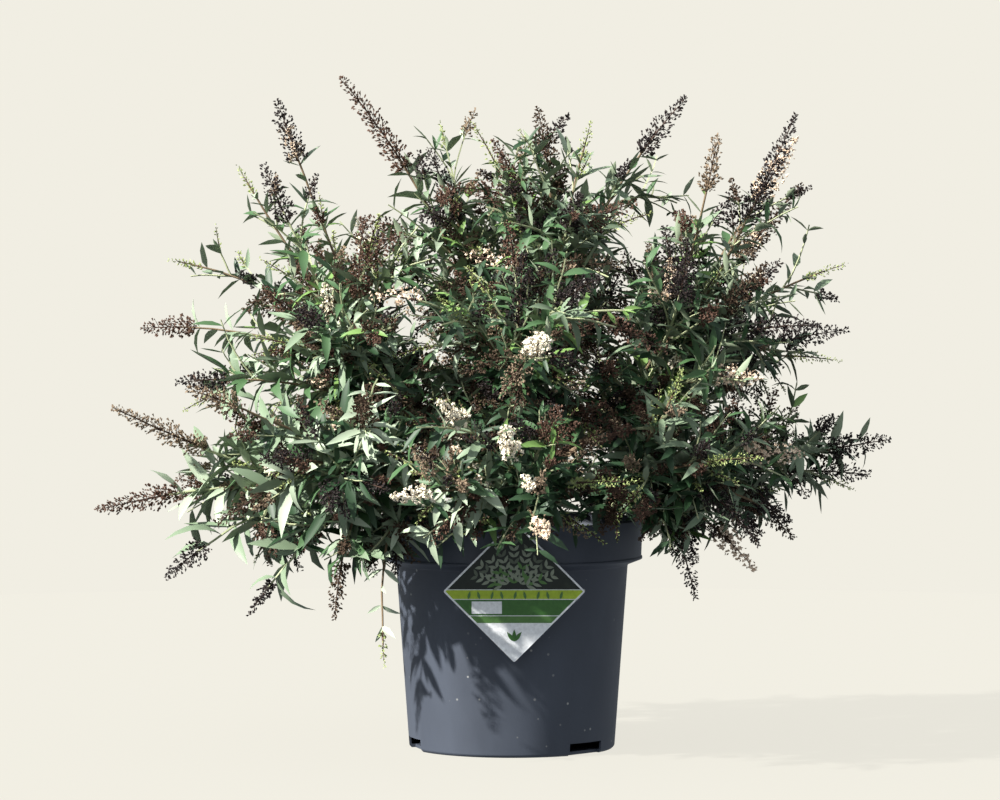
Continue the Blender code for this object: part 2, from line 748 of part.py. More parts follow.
def main():
    clear_scene()
    part = make_collection("butterfly_bush")
    cutters = make_collection("cutters")
    anthracite = make_material("anthracite plastic", (0.075, 0.083, 0.105), 0.45)
    compost = make_material("compost", (0.055, 0.035, 0.022), 0.95)
    card = make_material("printed card", (0.62, 0.64, 0.60), 0.35)
    bark = make_material("bark", (0.27, 0.20, 0.13), 0.85)
    foliage = make_material("foliage", (0.085, 0.135, 0.070), 0.65)

    finish(add_pot(part, cutters), anthracite, 30.0)
    finish(add_soil(part), compost, 30.0)
    finish(add_label(part), card)
    finish(add_stem(part), bark, 50.0)

    fitted_stem = add_object("fitted_stem", stem_mesh(CLEARANCE, part), cutters)
    fitted_stem.location.z = STEM_FOOT
    fitted_stem.hide_render = True
    fitted_stem.display_type = "WIRE"

    leading = leading_shoots()
    masses = plan_masses()
    shares = shares_of(leading + filling_shoots(leading), masses)
    keep_outs = add_keep_outs(masses, part)
    ring = [(math.cos(math.radians(120.0 * k)), math.sin(math.radians(120.0 * k))) for k in range(3)]
    triangle = bpy.data.curves.new("triangle", "CURVE")
    section = triangle.splines.new("POLY")
    section.use_cyclic_u = True
    section.points.add(len(ring) - 1)
    for place, (x, y) in zip(section.points, ring):
        place.co = (x, y, 0.0, 1.0)
    profile = add_object("triangle", triangle, cutters)
    profile.hide_render = True
    patterns = {
        "triangle": profile,
        "leaf": leaf_mesh(),
        "spike": turned_mesh("spike", SPIKE_PROFILE, SPIKE_SIDES, part),
    }
    for mass in masses:
        finish(add_bough(mass, part, fitted_stem), bark, 50.0)
        finish(add_mass(mass, shares[mass.name], masses, keep_outs, patterns, part), foliage)


if __name__ == "__main__":
    main()
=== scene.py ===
"""The looks of a butterfly bush in a round nursery pot, dressed over its solids.

Lengths are in metres and colours are linear RGB. The crown is grown here by the rule that its
solids follow: the same leading and filling shoots, the same spaces for the masses of foliage, and
then finer shoots and side shoots that fork from them and keep to the same spaces.
"""

import functools
import json
import math
import random
from typing import NamedTuple

import bmesh
import bpy
import numpy as np
from bpy.props import FloatProperty, FloatVectorProperty, IntProperty, PointerProperty
from mathutils import Matrix, Vector, noise

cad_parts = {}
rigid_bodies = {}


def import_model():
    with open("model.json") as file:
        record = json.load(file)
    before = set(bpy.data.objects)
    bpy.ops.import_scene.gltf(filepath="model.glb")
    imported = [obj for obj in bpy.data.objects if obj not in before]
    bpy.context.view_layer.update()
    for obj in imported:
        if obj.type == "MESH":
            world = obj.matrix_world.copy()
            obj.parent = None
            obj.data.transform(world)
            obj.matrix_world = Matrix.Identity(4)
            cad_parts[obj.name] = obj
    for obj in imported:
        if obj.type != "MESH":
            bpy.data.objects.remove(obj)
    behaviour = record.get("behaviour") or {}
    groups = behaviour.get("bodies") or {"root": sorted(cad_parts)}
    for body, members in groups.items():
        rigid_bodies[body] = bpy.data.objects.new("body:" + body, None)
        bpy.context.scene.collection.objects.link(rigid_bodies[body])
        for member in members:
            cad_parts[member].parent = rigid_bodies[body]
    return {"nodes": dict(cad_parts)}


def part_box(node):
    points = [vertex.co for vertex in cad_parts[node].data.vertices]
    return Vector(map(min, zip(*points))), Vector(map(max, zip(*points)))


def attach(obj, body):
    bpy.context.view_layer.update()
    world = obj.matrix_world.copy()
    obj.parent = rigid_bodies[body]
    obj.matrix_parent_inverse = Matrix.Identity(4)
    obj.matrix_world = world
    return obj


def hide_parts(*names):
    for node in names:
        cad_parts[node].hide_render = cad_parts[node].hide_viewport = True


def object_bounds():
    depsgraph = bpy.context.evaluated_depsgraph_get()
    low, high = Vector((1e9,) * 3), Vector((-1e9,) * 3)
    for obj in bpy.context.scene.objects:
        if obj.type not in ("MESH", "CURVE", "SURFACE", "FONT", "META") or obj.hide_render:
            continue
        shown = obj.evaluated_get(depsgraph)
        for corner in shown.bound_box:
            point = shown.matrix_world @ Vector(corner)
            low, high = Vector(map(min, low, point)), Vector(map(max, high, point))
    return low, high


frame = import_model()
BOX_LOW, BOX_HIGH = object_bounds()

bl_info = {
    "name": "Potted butterfly bush",
    "version": (1, 0, 0),
    "blender": (4, 5, 0),
    "location": "View3D > Sidebar > Butterfly bush",
    "description": "Dresses a potted butterfly bush with leaves, flower spikes, bark, pot and label",
    "category": "Object",
}

POT_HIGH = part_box("pot")[1]
SOIL_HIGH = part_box("soil")[1]
CROWN_NODES = sorted(name for name in frame["nodes"] if name.startswith("foliage_"))
BOUGH_NODES = sorted(name for name in frame["nodes"] if name.startswith("bough_"))
UP = Vector((0.0, 0.0, 1.0))
SIDEWAYS = Vector((1.0, 0.0, 0.0))

CLEARANCE = 0.0003
POT_HEIGHT = POT_HIGH.z
COLLAR_TOP_RADIUS = POT_HIGH.x
COLLAR_LOW_RADIUS = 0.1385
COLLAR_DEPTH = 0.042
COLLAR_STEP_DEPTH = 0.006
BODY_TOP_RADIUS = 0.124
BODY_FOOT_RADIUS = 0.110
POT_WALL = 0.0024
POT_FLOOR = 0.0035
FOOT_BEVEL = 0.0025
SLOT_COUNT = 3
SLOT_FIRST_TURN = 46.0
SLOT_WIDTH = 0.048
SLOT_HEIGHT = 0.013
SLOT_DEPTH = 0.012
SOIL_TOP = SOIL_HIGH.z
SOIL_SHOWN = 0.02
SOIL_RINGS = 26
SOIL_STEPS = 96
CRUMBS = {"Density": 5000.0, "Least": 0.25, "Most": 1.0, "Seed": 7}

LABEL_DIAGONAL = 0.1484
LABEL_THICKNESS = 0.0009
LABEL_TOP_ABOVE_RIM = 0.007
LABEL_SIDESTEP = 0.002
STRAP_WIDTH = 0.010
STRAP_DROP = 0.016
STRAP_INSET = 0.0015
LABEL_SIGHT = 0.30
LABEL_OVERHUNG = 0.012
LABEL_CORNER = 0.0022
INK_DEPTH = 0.0002
INK_LAYER = 0.00006
INK_STEP = 0.000003
SPRIG_TURN = 17.0

STEM_FOOT = SOIL_TOP + CLEARANCE
STEM_HEIGHT = 0.052
STEM_PROFILE = ((0.010, 0.97), (0.0155, 0.86), (0.0165, 0.62), (0.0155, 0.35), (0.018, 0.14), (0.025, 0.0))

# The growth rule of the solids: rings of boughs, each with its mass of foliage.
HEART = Vector((0.0, 0.0, 0.250))
RINGS = (
    ("low", 8, 4.0, 0.0, 0.32, 13.0),
    ("middle", 6, 42.0, 0.0, 0.58, 40.0),
    ("top", 2, 76.0, 30.0, 0.93, 74.0),
)
BOUGH_REACH = 0.125
BOUGH_BASE_RADIUS = 0.0042
BOUGH_TIP_RADIUS = 0.0028
BOUGH_ARCH = 0.14
CELL_MARGIN = 0.0008

# Shoots that stand out in the front view: degrees from straight up, to the right; reach from the
# heart in that view; how far the tip comes forward; length and kind of the spike.
LEADING_SHOOTS = (
    (-21.5, 0.502, -0.04, 0.110, "seed"),
    (-29.8, 0.512, -0.08, 0.062, "seed"),
    (-35.0, 0.454, 0.10, 0.058, "seed"),
    (-38.8, 0.480, -0.13, 0.034, "bud"),
    (-46.7, 0.357, 0.14, 0.082, "seed"),
    (-54.1, 0.463, -0.11, 0.034, "bud"),
    (-64.2, 0.451, -0.13, 0.052, "seed"),
    (-68.8, 0.380, 0.12, 0.045, "seed"),
    (-74.7, 0.438, 0.05, 0.100, "seed"),
    (-89.2, 0.442, 0.03, 0.080, "seed"),
    (-99.5, 0.368, 0.11, 0.050, "seed"),
    (-109.5, 0.292, 0.13, 0.032, "seed"),
    (-118.0, 0.208, 0.19, 0.045, "seed"),
    (-138.0, 0.196, 0.215, 0.026, "bud"),
    (-10.5, 0.428, -0.08, 0.026, "bud"),
    (-5.8, 0.420, 0.05, 0.052, "bud"),
    (3.6, 0.433, 0.04, 0.060, "seed"),
    (8.2, 0.434, -0.07, 0.046, "seed"),
    (11.2, 0.428, 0.09, 0.040, "bud"),
    (22.6, 0.4815, 0.01, 0.068, "seed"),
    (27.0, 0.457, 0.10, 0.052, "seed"),
    (35.1, 0.520, 0.06, 0.112, "seed"),
    (37.4, 0.508, -0.09, 0.070, "bloom"),
    (41.9, 0.474, -0.12, 0.100, "seed"),
    (44.5, 0.377, 0.14, 0.070, "seed"),
    (54.0, 0.454, -0.12, 0.042, "bud"),
    (57.5, 0.380, 0.13, 0.070, "seed"),
    (66.2, 0.396, -0.13, 0.050, "bud"),
    (78.5, 0.409, 0.04, 0.062, "seed"),
    (90.0, 0.292, 0.13, 0.034, "seed"),
    (101.2, 0.259, 0.12, 0.046, "bloom"),
    (112.5, 0.206, 0.16, 0.066, "seed"),
    (-26.0, 0.350, 0.16, 0.078, "seed"),
    (27.0, 0.345, 0.17, 0.074, "seed"),
    (9.5, 0.199, 0.345, 0.075, "bloom"),
    (-28.4, 0.153, 0.360, 0.040, "bloom"),
    (-4.9, 0.110, 0.375, 0.046, "bloom"),
    (-72.0, 0.127, 0.365, 0.042, "bloom"),
    (88.0, 0.033, 0.380, 0.038, "bloom"),
    (60.4, 0.293, 0.200, 0.050, "bloom"),
    (76.6, 0.310, 0.150, 0.058, "bloom"),
)
FILLING_SHOOTS = 72
CROWN_REACH = 0.425
CROWN_REACH_SPREAD = 0.18
CROWN_SIDE_DROOP = 13.0
CROWN_FRONT_RISE = 4.0
CROWN_SKIRT = 0.28
CROWN_SKIRT_RISE = 26.0
LEAD_SPACING = 9.0
GOLDEN_TURN = math.pi * (3.0 - math.sqrt(5.0))
SEED = 4100
SPIKE_GIRTH = {"seed": 0.0110, "bud": 0.0065, "bloom": 0.0140}
FILLING_SPIKE = (0.045, 0.090)
FILLING_KINDS = {"seed": 7, "bud": 2, "bloom": 1}
STEM_TWIG_RADIUS = 0.0027
SHOOT_BASE_RADIUS = 0.0021
SHOOT_TIP_RADIUS = 0.0009
SHOOT_STRAIGHT = 0.008
SHOOT_ARCH = 0.13
SHOOT_ARCH_SPREAD = 0.07
FIRST_FORK = 0.07
LAST_FORK = 0.50

# What the finer growth adds to that rule.
PATH_POINTS = 10
SHOOT_FIRST_LEAF = 0.16
FINE_FRONT_RISE = -7.0
FINE_LEAN = 8.0
FINE_RIGHT_DRAW = 0.07
FINE_TOP_RISE = 0.13
FINE_WIDENING = 0.20
INNER_REACH = (0.26, 0.66)
OUTER_REACH = (0.46, 0.86)
FINE_SPIKE = (0.032, 0.066)
FINE_KINDS = {"seed": 64, "bud": 10, "bloom": 3}
FINE_ARCH = (0.02, 0.24)
FORK_SHARES = (0.06, 0.16, 0.26, 0.36, 0.46, 0.56, 0.66)
FORK_NEAREST = 0.040
FINE_TWIG = {"base": 0.0017, "end": 0.0009, "first_leaf": 0.12, "order": 2}
FINE_FIRST = 1000
INNER_FIRST = 2000
SIDE_FIRST = 4000
SIDE_TWIG = {"base": 0.0011, "end": 0.0007, "first_leaf": 0.22}
SIDE_KINDS = {"seed": 38, "bud": 8, "bloom": 1, "leafy": 53}
SIDE_SHARES = (0.40, 0.56, 0.72, 0.88)
SIDE_LEAN = (32.0, 52.0)
SIDE_RISE = 0.25
SIDE_LENGTH = (0.034, 0.080)
SIDE_SPIKE = (0.018, 0.038)
SPIKE_WIDTH = {"seed": (0.25, 0.0140), "bud": (0.16, 0.0070), "bloom": (0.30, 0.0165)}
LEAFY_END = 0.97

# The meshes of stem, boughs and twigs.
STEM_SIDES = 56
STEM_LEVELS = 28
STEM_RIDGES = 14
BOUGH_SIDES = 14
BOUGH_LEVELS = 26
BOUGH_RIDGES = 8
TWIG_WANDER = 0.0008
OLD_WOOD_CHANCE = 0.6

# One value for each order of twig. The first isn't used, as orders start at one.
LEAF_SPACING = (1.0, 1.0, 0.94, 0.78)
LEAF_SIZE = (1.0, 1.16, 0.98, 0.66)
SPIKE_CROWD = (1.0, 1.0, 0.58, 0.42)
STALK_POINTS = (2, 6, 4, 3)
STALK_EVERY = (1, 12, 22, 30)

# Leaves: the leans tried in turn with the size at each, the tints, the length under which a leaf is
# drawn from the small ones, and the tufts of young leaves beside the pairs.
LEAF_LEAN = ((58.0, 1.0), (38.0, 0.9), (80.0, 0.75), (16.0, 0.8))
LEAF_TINTS = ("deep", "middle", "grey", "fresh", "silver")
SMALL_LEAF = 0.030
TUFT_CHANCE = 0.35
TUFT_SIZE = (0.28, 0.46)

# Spikes: heights and the width at each, the stalks' radii, and chances within the blossom.
SEED_TINTS = ("umber", "chestnut", "russet", "tan")
SPIKE_OUTLINE = ((0.0, 0.25, 0.7, 1.0), (0.8, 1.0, 0.7, 0.22))
STALK_RADII = (0.0005, 0.00035)
SPENT_CHANCE = 0.22
LATE_CHANCE = 0.30

# Where leaves thin out, how far growth may reach over the sides of its space, and the gap it keeps.
THIN_FROM = 0.60
THIN_TO = 1.10
OVERHANG = 0.030
TWIG_OVERHANG = 0.012
BOX_OVERHANG = 0.004
TOUCH_GAP = 0.0015

# The twig that hangs far down before the pot has smaller leaves.
HANGING_UNDER = 0.55 * POT_HEIGHT
HANGING_LEAF = 0.62

# Leading shoots, by number: those whose blossom fades, and seed heads with some blossom left.
FADING_BLOSSOM = (22, 30, 38, 39, 40)
LATE_BLOSSOM = (1, 23, 33)

# The stage.
FLOOR_RADIUS = 2.2
FLOOR_GLOW = 0.885
FLOOR_DROP = 0.0002
SENSOR_WIDTH = 36.0
SKY_SOFTNESS = math.radians(110.0)


# Settings


def length_property(label, what, default):
    return FloatProperty(name=label, description=what, default=default, min=0.0, unit="LENGTH", precision=4)


def colour_property(label, what, default):
    return FloatVectorProperty(
        name=label, description=what, default=default, size=3, min=0.0, max=1.0, subtype="COLOR"
    )


def count_property(label, what, default, **limits):
    return IntProperty(name=label, description=what, default=default, **limits)


def strength_property(label, what, default):
    return FloatProperty(name=label, description=what, default=default, min=0.0)


class PotSettings(bpy.types.PropertyGroup):
    sides: count_property("Sides", "Flats round the pot's wall", 144, min=24, max=512)
    lip: length_property("Lip", "Rounding of the rim's edge", 0.0008)
    bead: length_property("Bead", "Height of the bead along the collar's lower edge", 0.0014)
    plastic: colour_property("Plastic", "Colour of the moulded plastic", (0.056, 0.066, 0.088))
    dust: colour_property("Dust", "Colour of the dust and dried splashes", (0.36, 0.36, 0.35))
    compost: colour_property("Compost", "Colour of the compost", (0.040, 0.026, 0.017))
    crumb: length_property("Crumb", "Size of the larger crumbs of compost", 0.0052)


class LabelSettings(bpy.types.PropertyGroup):
    border: length_property("Border", "Width of the label's bare edge", 0.0019)
    card: colour_property("Card", "Colour of the card", (0.88, 0.90, 0.92))
    night: colour_property("Picture", "Colour behind the printed sprig", (0.014, 0.020, 0.014))
    dusk: colour_property("Dusk", "Colour of the printed leaves in shade", (0.110, 0.135, 0.095))
    sprig: colour_property("Sprig", "Colour of the printed leaves", (0.27, 0.31, 0.23))
    meadow: colour_property("Meadow", "Colour of the bright band", (0.42, 0.56, 0.04))
    band: colour_property("Band", "Colour of the broad band", (0.055, 0.160, 0.035))
    stripe: colour_property("Stripe", "Colour of the narrow band", (0.10, 0.22, 0.06))


class WoodSettings(bpy.types.PropertyGroup):
    relief: length_property("Relief", "Depth of the bark's furrows on the stem", 0.0012)
    bark: colour_property("Bark", "Colour of the bark", (0.23, 0.165, 0.105))
    furrow: colour_property("Furrow", "Colour in the bark's furrows", (0.075, 0.048, 0.030))
    young: colour_property("Young twigs", "Colour of this year's growth", (0.320, 0.350, 0.205))
    old: colour_property("Old twigs", "Colour of last year's growth", (0.165, 0.118, 0.070))


class FoliageSettings(bpy.types.PropertyGroup):
    fine_shoots: count_property("Fine shoots", "Finer shoots that fill the crown", 430, min=0)
    leaf: length_property("Leaf", "Length of a full leaf", 0.054)
    leaf_width: length_property("Leaf width", "Width of a full leaf", 0.0134)
    spacing: length_property("Spacing", "Distance between pairs of leaves", 0.0165)
    # Deep green is painted shade: leaf_tint deals it to leaves towards the middle of the crown as seen from
    # the front.
    deep: colour_property("Deep green", "Leaves inside the crown", (0.020, 0.052, 0.021))
    middle: colour_property("Middle green", "Most leaves", (0.055, 0.118, 0.046))
    # Grey green is partly the older leaves' own colour and partly painted light: leaf_tint deals more of it
    # to the left, the right and the edge.
    grey: colour_property("Grey green", "Older leaves", (0.170, 0.232, 0.148))
    fresh: colour_property("Fresh green", "Leaves of new tips", (0.150, 0.265, 0.072))
    # Silver green is partly the downy leaves' own colour and partly painted light: leaf_tint deals more of it
    # to the left and the edge.
    silver: colour_property("Silver green", "Downy leaves low on the bush", (0.330, 0.400, 0.290))
    underside: colour_property("Underside", "Back of a leaf", (0.260, 0.315, 0.215))


class BlossomSettings(bpy.types.PropertyGroup):
    capsule: length_property("Capsule", "Length of a seed capsule", 0.0050)
    bud: length_property("Bud", "Length of a flower bud", 0.0044)
    floret: length_property("Floret", "Width of an open floret", 0.0062)
    # Umber is partly the seed heads' own dark colour and partly painted shade: seed_tint deals more of it to
    # the right, away from the key light.
    umber: colour_property("Umber", "Oldest seed heads", (0.026, 0.019, 0.019))
    chestnut: colour_property("Chestnut", "Ripe seed heads", (0.064, 0.041, 0.025))
    # Russet and tan are the seed heads' own colours, and seed_tint deals more of them to the left, where the
    # key light falls, as painted light.
    russet: colour_property("Russet", "Drying seed heads", (0.092, 0.050, 0.034))
    tan: colour_property("Tan", "Pale seed heads", (0.230, 0.170, 0.115))
    bud_green: colour_property("Bud green", "Unopened buds", (0.300, 0.360, 0.130))
    cream: colour_property("Cream", "Fresh florets", (0.80, 0.73, 0.58))
    peach: colour_property("Peach", "Fading florets", (0.72, 0.57, 0.43))


class StageSettings(bpy.types.PropertyGroup):
    lens: FloatProperty(name="Lens", description="Focal length of the camera", default=168.4, min=10.0)
    distance: length_property("Distance", "How far the camera stands in front", 5.0)
    camera_height: length_property("Camera height", "Height of the camera above the floor", 0.56)
    aim_height: length_property("Aim height", "Height of the point that it looks at", 0.372)
    aim_side: FloatProperty(
        name="Aim side", description="Sidestep of the camera", default=-0.0128, unit="LENGTH"
    )
    key: strength_property("Key", "Strength of the key light", 10.0)
    key_softness: FloatProperty(
        name="Softness", description="Angle of the key light", default=math.radians(1.4), subtype="ANGLE"
    )
    sky: strength_property("Sky", "Strength of the broad light from above", 1.8)
    fill: strength_property("Fill", "Strength of the light from all round", 0.30)
    pale: colour_property("Pale", "Colour of the floor and what is behind", (0.879, 0.855, 0.768))


# The growth rule, as the solids have it


class Mass(NamedTuple):
    """One mass of foliage: its direction from the heart, and how its bough runs."""

    axis: Vector
    root: Vector
    entry: Vector


class Tip(NamedTuple):
    """Where a shoot ends, and the spike that ends it."""

    number: int
    place: Vector
    spike: float
    kind: str


class Twig(NamedTuple):
    """One grown shoot: its mass, its path and thickness, where its leaves begin, and what ends it."""

    mass: int
    points: list
    base: float
    end: float
    first_leaf: float
    spike: float
    kind: str
    number: int
    order: int


def direction(turn, rise):
    """Unit vector at a turn from the front, anticlockwise from above, and a rise, in degrees."""
    turn, rise = math.radians(turn), math.radians(rise)
    return Vector((math.sin(turn) * math.cos(rise), -math.cos(turn) * math.cos(rise), math.sin(rise)))


def clamped(value):
    """The value, kept between nought and one."""
    return max(0.0, min(1.0, value))


def chosen(rng, weights):
    """One of the names, by their weights."""
    return rng.choices(list(weights), list(weights.values()))[0]


@functools.lru_cache(maxsize=None)
def plan_masses():
    """The masses of foliage, ring by ring from below."""
    masses = []
    for ring, count, rise, first, share, entry_rise in RINGS:
        for k in range(count):
            turn = first + 360.0 * k / count
            root = Vector((0.0, 0.0, STEM_FOOT + STEM_HEIGHT * share))
            if ring == "top":
                root += 0.5 * STEM_PROFILE[0][0] * direction(turn, 0.0)
            entry = HEART + BOUGH_REACH * direction(turn, entry_rise)
            masses.append(Mass(direction(turn, rise), root, entry))
    return tuple(masses)


@functools.lru_cache(maxsize=None)
def cell_sides(index):
    """Unit normals, pointing in, of the flat sides of a mass's space. They all pass through the heart."""
    masses = plan_masses()
    own = masses[index].axis
    return np.array([(own - other.axis).normalized() for k, other in enumerate(masses) if k != index])


def mass_of(place):
    """Number of the mass whose space a place is in."""
    way = (place - HEART).normalized()
    return max(range(len(plan_masses())), key=lambda k: plan_masses()[k].axis.dot(way))


def kept_in_cell(place, index, margin):
    """The place, moved just far enough to lie in its mass's space by the margin."""
    offset = np.array(place - HEART)
    for _ in range(3):
        for side in cell_sides(index):
            short = margin - offset @ side
            if short > 0.0:
                offset = offset + short * side
    return HEART + Vector(offset)


def curve_between(start, control, end, count):
    """Points along the bend from start to end that leaves start towards control."""
    shares = [k / (count - 1) for k in range(count)]
    return [(1 - t) ** 2 * start + 2 * t * (1 - t) * control + t * t * end for t in shares]


def at_share(points, share):
    """The point at a share of a path's points, and the path's direction there."""
    place = clamped(share) * (len(points) - 1)
    k = min(int(place), len(points) - 2)
    step = points[k + 1] - points[k]
    return points[k] + (place - k) * step, step.normalized()


def path_length(points):
    return sum((b - a).length for a, b in zip(points, points[1:]))


def arched(start, end, share):
    """A control point that bends the way from start to end upwards, by a share of its length."""
    chord = end - start
    lift = UP - chord.normalized() * UP.dot(chord.normalized())
    return start + 0.5 * chord + share * chord.length * lift


def led_on(start, end, heading, arch):
    """A control point halfway between arching up and going on along a heading."""
    return 0.5 * arched(start, end, arch) + 0.5 * (start + 0.5 * (end - start).length * heading)


def level_side(heading):
    """Unit vector that is level and square to a heading."""
    side = heading.cross(UP)
    return side.normalized() if side.length > 0.05 else SIDEWAYS


def bough_path(mass, count=5):
    return curve_between(mass.root, arched(mass.root, mass.entry, BOUGH_ARCH), mass.entry, count)


def leading_tips():
    tips = []
    for number, (clock, reach, forward, spike, kind) in enumerate(LEADING_SHOOTS):
        side, up = math.sin(math.radians(clock)), math.cos(math.radians(clock))
        tips.append(Tip(number, HEART + Vector((reach * side, -forward, reach * up)), spike, kind))
    return tips


def spread_way(k, count, offset=0.0, front=CROWN_FRONT_RISE, lean=0.0):
    """Turn and rise, in degrees, of one of so many ways spread evenly over the crown's dome."""
    turn = (k + offset) * GOLDEN_TURN
    lowest = front - (front + CROWN_SIDE_DROOP - lean * math.sin(turn)) * math.sin(turn) ** 2
    low = math.sin(math.radians(lowest))
    return math.degrees(turn), math.degrees(math.asin(low + (1.0 - low) * (k + 0.5) / count))


def skirt(rise):
    """How much the crown draws in towards its lower edge."""
    return 1.0 - CROWN_SKIRT * max(0.0, 1.0 - (rise + CROWN_SIDE_DROOP) / CROWN_SKIRT_RISE)


def filling_tips(leading):
    tips = []
    for k in range(FILLING_SHOOTS):
        rng = random.Random(SEED + k)
        turn, rise = spread_way(k, FILLING_SHOOTS)
        reach = CROWN_REACH * (1.0 - CROWN_REACH_SPREAD * rng.random()) * skirt(rise)
        spike = rng.uniform(*FILLING_SPIKE)
        kind = chosen(rng, FILLING_KINDS)
        way = direction(turn, rise)
        if min(math.degrees(way.angle(lead.place - HEART)) for lead in leading) > LEAD_SPACING:
            tips.append(Tip(len(leading) + k, HEART + reach * way, spike, kind))
    return tips


def shoot_twigs(index, tips):
    """The shoots of a mass, as its solid has them. The first is the mass's stem, the rest fork from it."""
    twigs = []
    for rank, tip in enumerate(tips):
        rng = random.Random(SEED * 2 + tip.number)
        arch = SHOOT_ARCH + rng.uniform(-SHOOT_ARCH_SPREAD, SHOOT_ARCH_SPREAD)
        margin = SPIKE_GIRTH[tip.kind] + CELL_MARGIN
        end = kept_in_cell(tip.place, index, margin)
        if rank == 0:
            end_of_bough, heading = at_share(bough_path(plan_masses()[index]), 1.0)
            start = end_of_bough + CLEARANCE * heading
        else:
            share = LAST_FORK - (LAST_FORK - FIRST_FORK) * rank / len(tips)
            start, heading = at_share(twigs[0].points, share)
        first = start + SHOOT_STRAIGHT * heading
        bend = curve_between(first, led_on(first, end, heading, arch), end, PATH_POINTS)
        points = [start, first] + [kept_in_cell(p, index, margin) for p in bend[1:]]
        base = STEM_TWIG_RADIUS if rank == 0 else SHOOT_BASE_RADIUS
        grown = (SHOOT_TIP_RADIUS, SHOOT_FIRST_LEAF, tip.spike, tip.kind, tip.number)
        twigs.append(Twig(index, points, base, *grown, order=1))
    return twigs


# The finer growth


def low_and_left(place):
    """How far a place is towards the crown's lower left, where the leaves are large and downy."""
    return clamped(-place.x / 0.35) * clamped((0.52 - place.z) / 0.25)


def outwardness(place):
    """How far a place is towards the crown's edge, as seen from the front."""
    depth = math.hypot(place.x, place.z - HEART.z) / CROWN_REACH
    return clamped((depth - 0.40) / 0.45)


def clear_of_all(places, index, overhang=0.0):
    """Which rows of places, each some points, lie in the mass's space and the object's box, and clear
    of pot, label and bough."""
    offset = places - np.array(HEART)
    good = np.ones(places.shape[:-1], bool)
    for side in cell_sides(index):
        good &= offset @ side > CELL_MARGIN - overhang
    x, y, z = places[..., 0], places[..., 1], places[..., 2]
    rim = POT_HEIGHT + LABEL_TOP_ABOVE_RIM + TOUCH_GAP
    good &= ~((np.hypot(x, y) < COLLAR_TOP_RADIUS + TOUCH_GAP) & (z < rim))
    middle = POT_HEIGHT + LABEL_TOP_ABOVE_RIM - 0.5 * LABEL_DIAGONAL
    half = 0.5 * LABEL_DIAGONAL - LABEL_OVERHUNG
    before = (y < -COLLAR_TOP_RADIUS + TOUCH_GAP) & (y > -COLLAR_TOP_RADIUS - LABEL_SIGHT)
    good &= ~(before & (np.abs(x - LABEL_SIDESTEP) + np.abs(z - middle) < half))
    low, high = np.array(BOX_LOW) - BOX_OVERHANG, np.array(BOX_HIGH) + BOX_OVERHANG
    good &= ((places > low) & (places < high)).all(-1)
    path = np.array(bough_path(plan_masses()[index]))
    for a, b in zip(path, path[1:]):
        step = b - a
        share = np.clip(((places - a) @ step) / (step @ step), 0.0, 0.97)
        away = np.linalg.norm(places - (a + share[..., None] * step), axis=-1)
        good &= away > BOUGH_BASE_RADIUS + TOUCH_GAP
    return good.all(-1)


def path_is_clear(points, index, skipped=2):
    """Whether a path, past the points where it leaves its fork, keeps to its space and touches nothing."""
    return bool(clear_of_all(np.array([points[skipped:]]), index, TWIG_OVERHANG)[0])


def fork_for(place, twigs, rng):
    """The point and heading on the given shoots from which a shoot would best grow to the place."""
    best, found = None, None
    for twig in twigs:
        for share in FORK_SHARES:
            start, heading = at_share(twig.points, share + rng.uniform(-0.04, 0.04))
            way = place - start
            if way.length < FORK_NEAREST:
                continue
            cost = way.length * (1.45 - heading.dot(way.normalized())) + 0.03 * rng.random()
            if best is None or cost < best:
                best, found = cost, (start, heading)
    return found


def fine_twigs(index, parents, count, reach, first):
    """Finer shoots that fill the mass's space between its own shoots, numbered from first."""
    twigs = []
    for k in range(count):
        rng = random.Random(SEED * 5 + first + k)
        turn, rise = spread_way(k, count, 0.41, FINE_FRONT_RISE, FINE_LEAN)
        way = direction(turn + rng.uniform(-6.0, 6.0), rise + rng.uniform(-5.0, 5.0))
        drawn = 1.0 - FINE_RIGHT_DRAW * max(0.0, way.x)
        drawn = drawn * (1.0 + FINE_TOP_RISE * max(0.0, (way.z - 0.72) / 0.28))
        share = reach[0] + (reach[1] - reach[0]) * rng.random() ** 0.65
        place = HEART + CROWN_REACH * share * skirt(rise) * drawn * way
        leafy = 16.0 + 34.0 * low_and_left(place) + 30.0 * max(0.0, way.z - 0.5)
        kind = chosen(rng, {**FINE_KINDS, "leafy": leafy})
        spike = 0.0 if kind == "leafy" else rng.uniform(*FINE_SPIKE)
        arch = rng.uniform(*FINE_ARCH)
        if mass_of(place) != index or rng.random() < 0.40 * low_and_left(place):
            continue
        margin = -0.6 * TWIG_OVERHANG
        axis, offset = plan_masses()[index].axis, place - HEART
        wider = offset + FINE_WIDENING * (offset - axis * axis.dot(offset))
        place = kept_in_cell(HEART + offset.length * wider.normalized(), index, margin)
        found = fork_for(place, parents, rng)
        if found is None:
            continue
        start, heading = found
        bend = curve_between(start, led_on(start, place, heading, arch), place, PATH_POINTS - 2)
        points = bend[:1] + [kept_in_cell(p, index, margin) for p in bend[1:]]
        if path_is_clear(points, index):
            twigs.append(Twig(index, points, spike=spike, kind=kind, number=first + k, **FINE_TWIG))
    return twigs


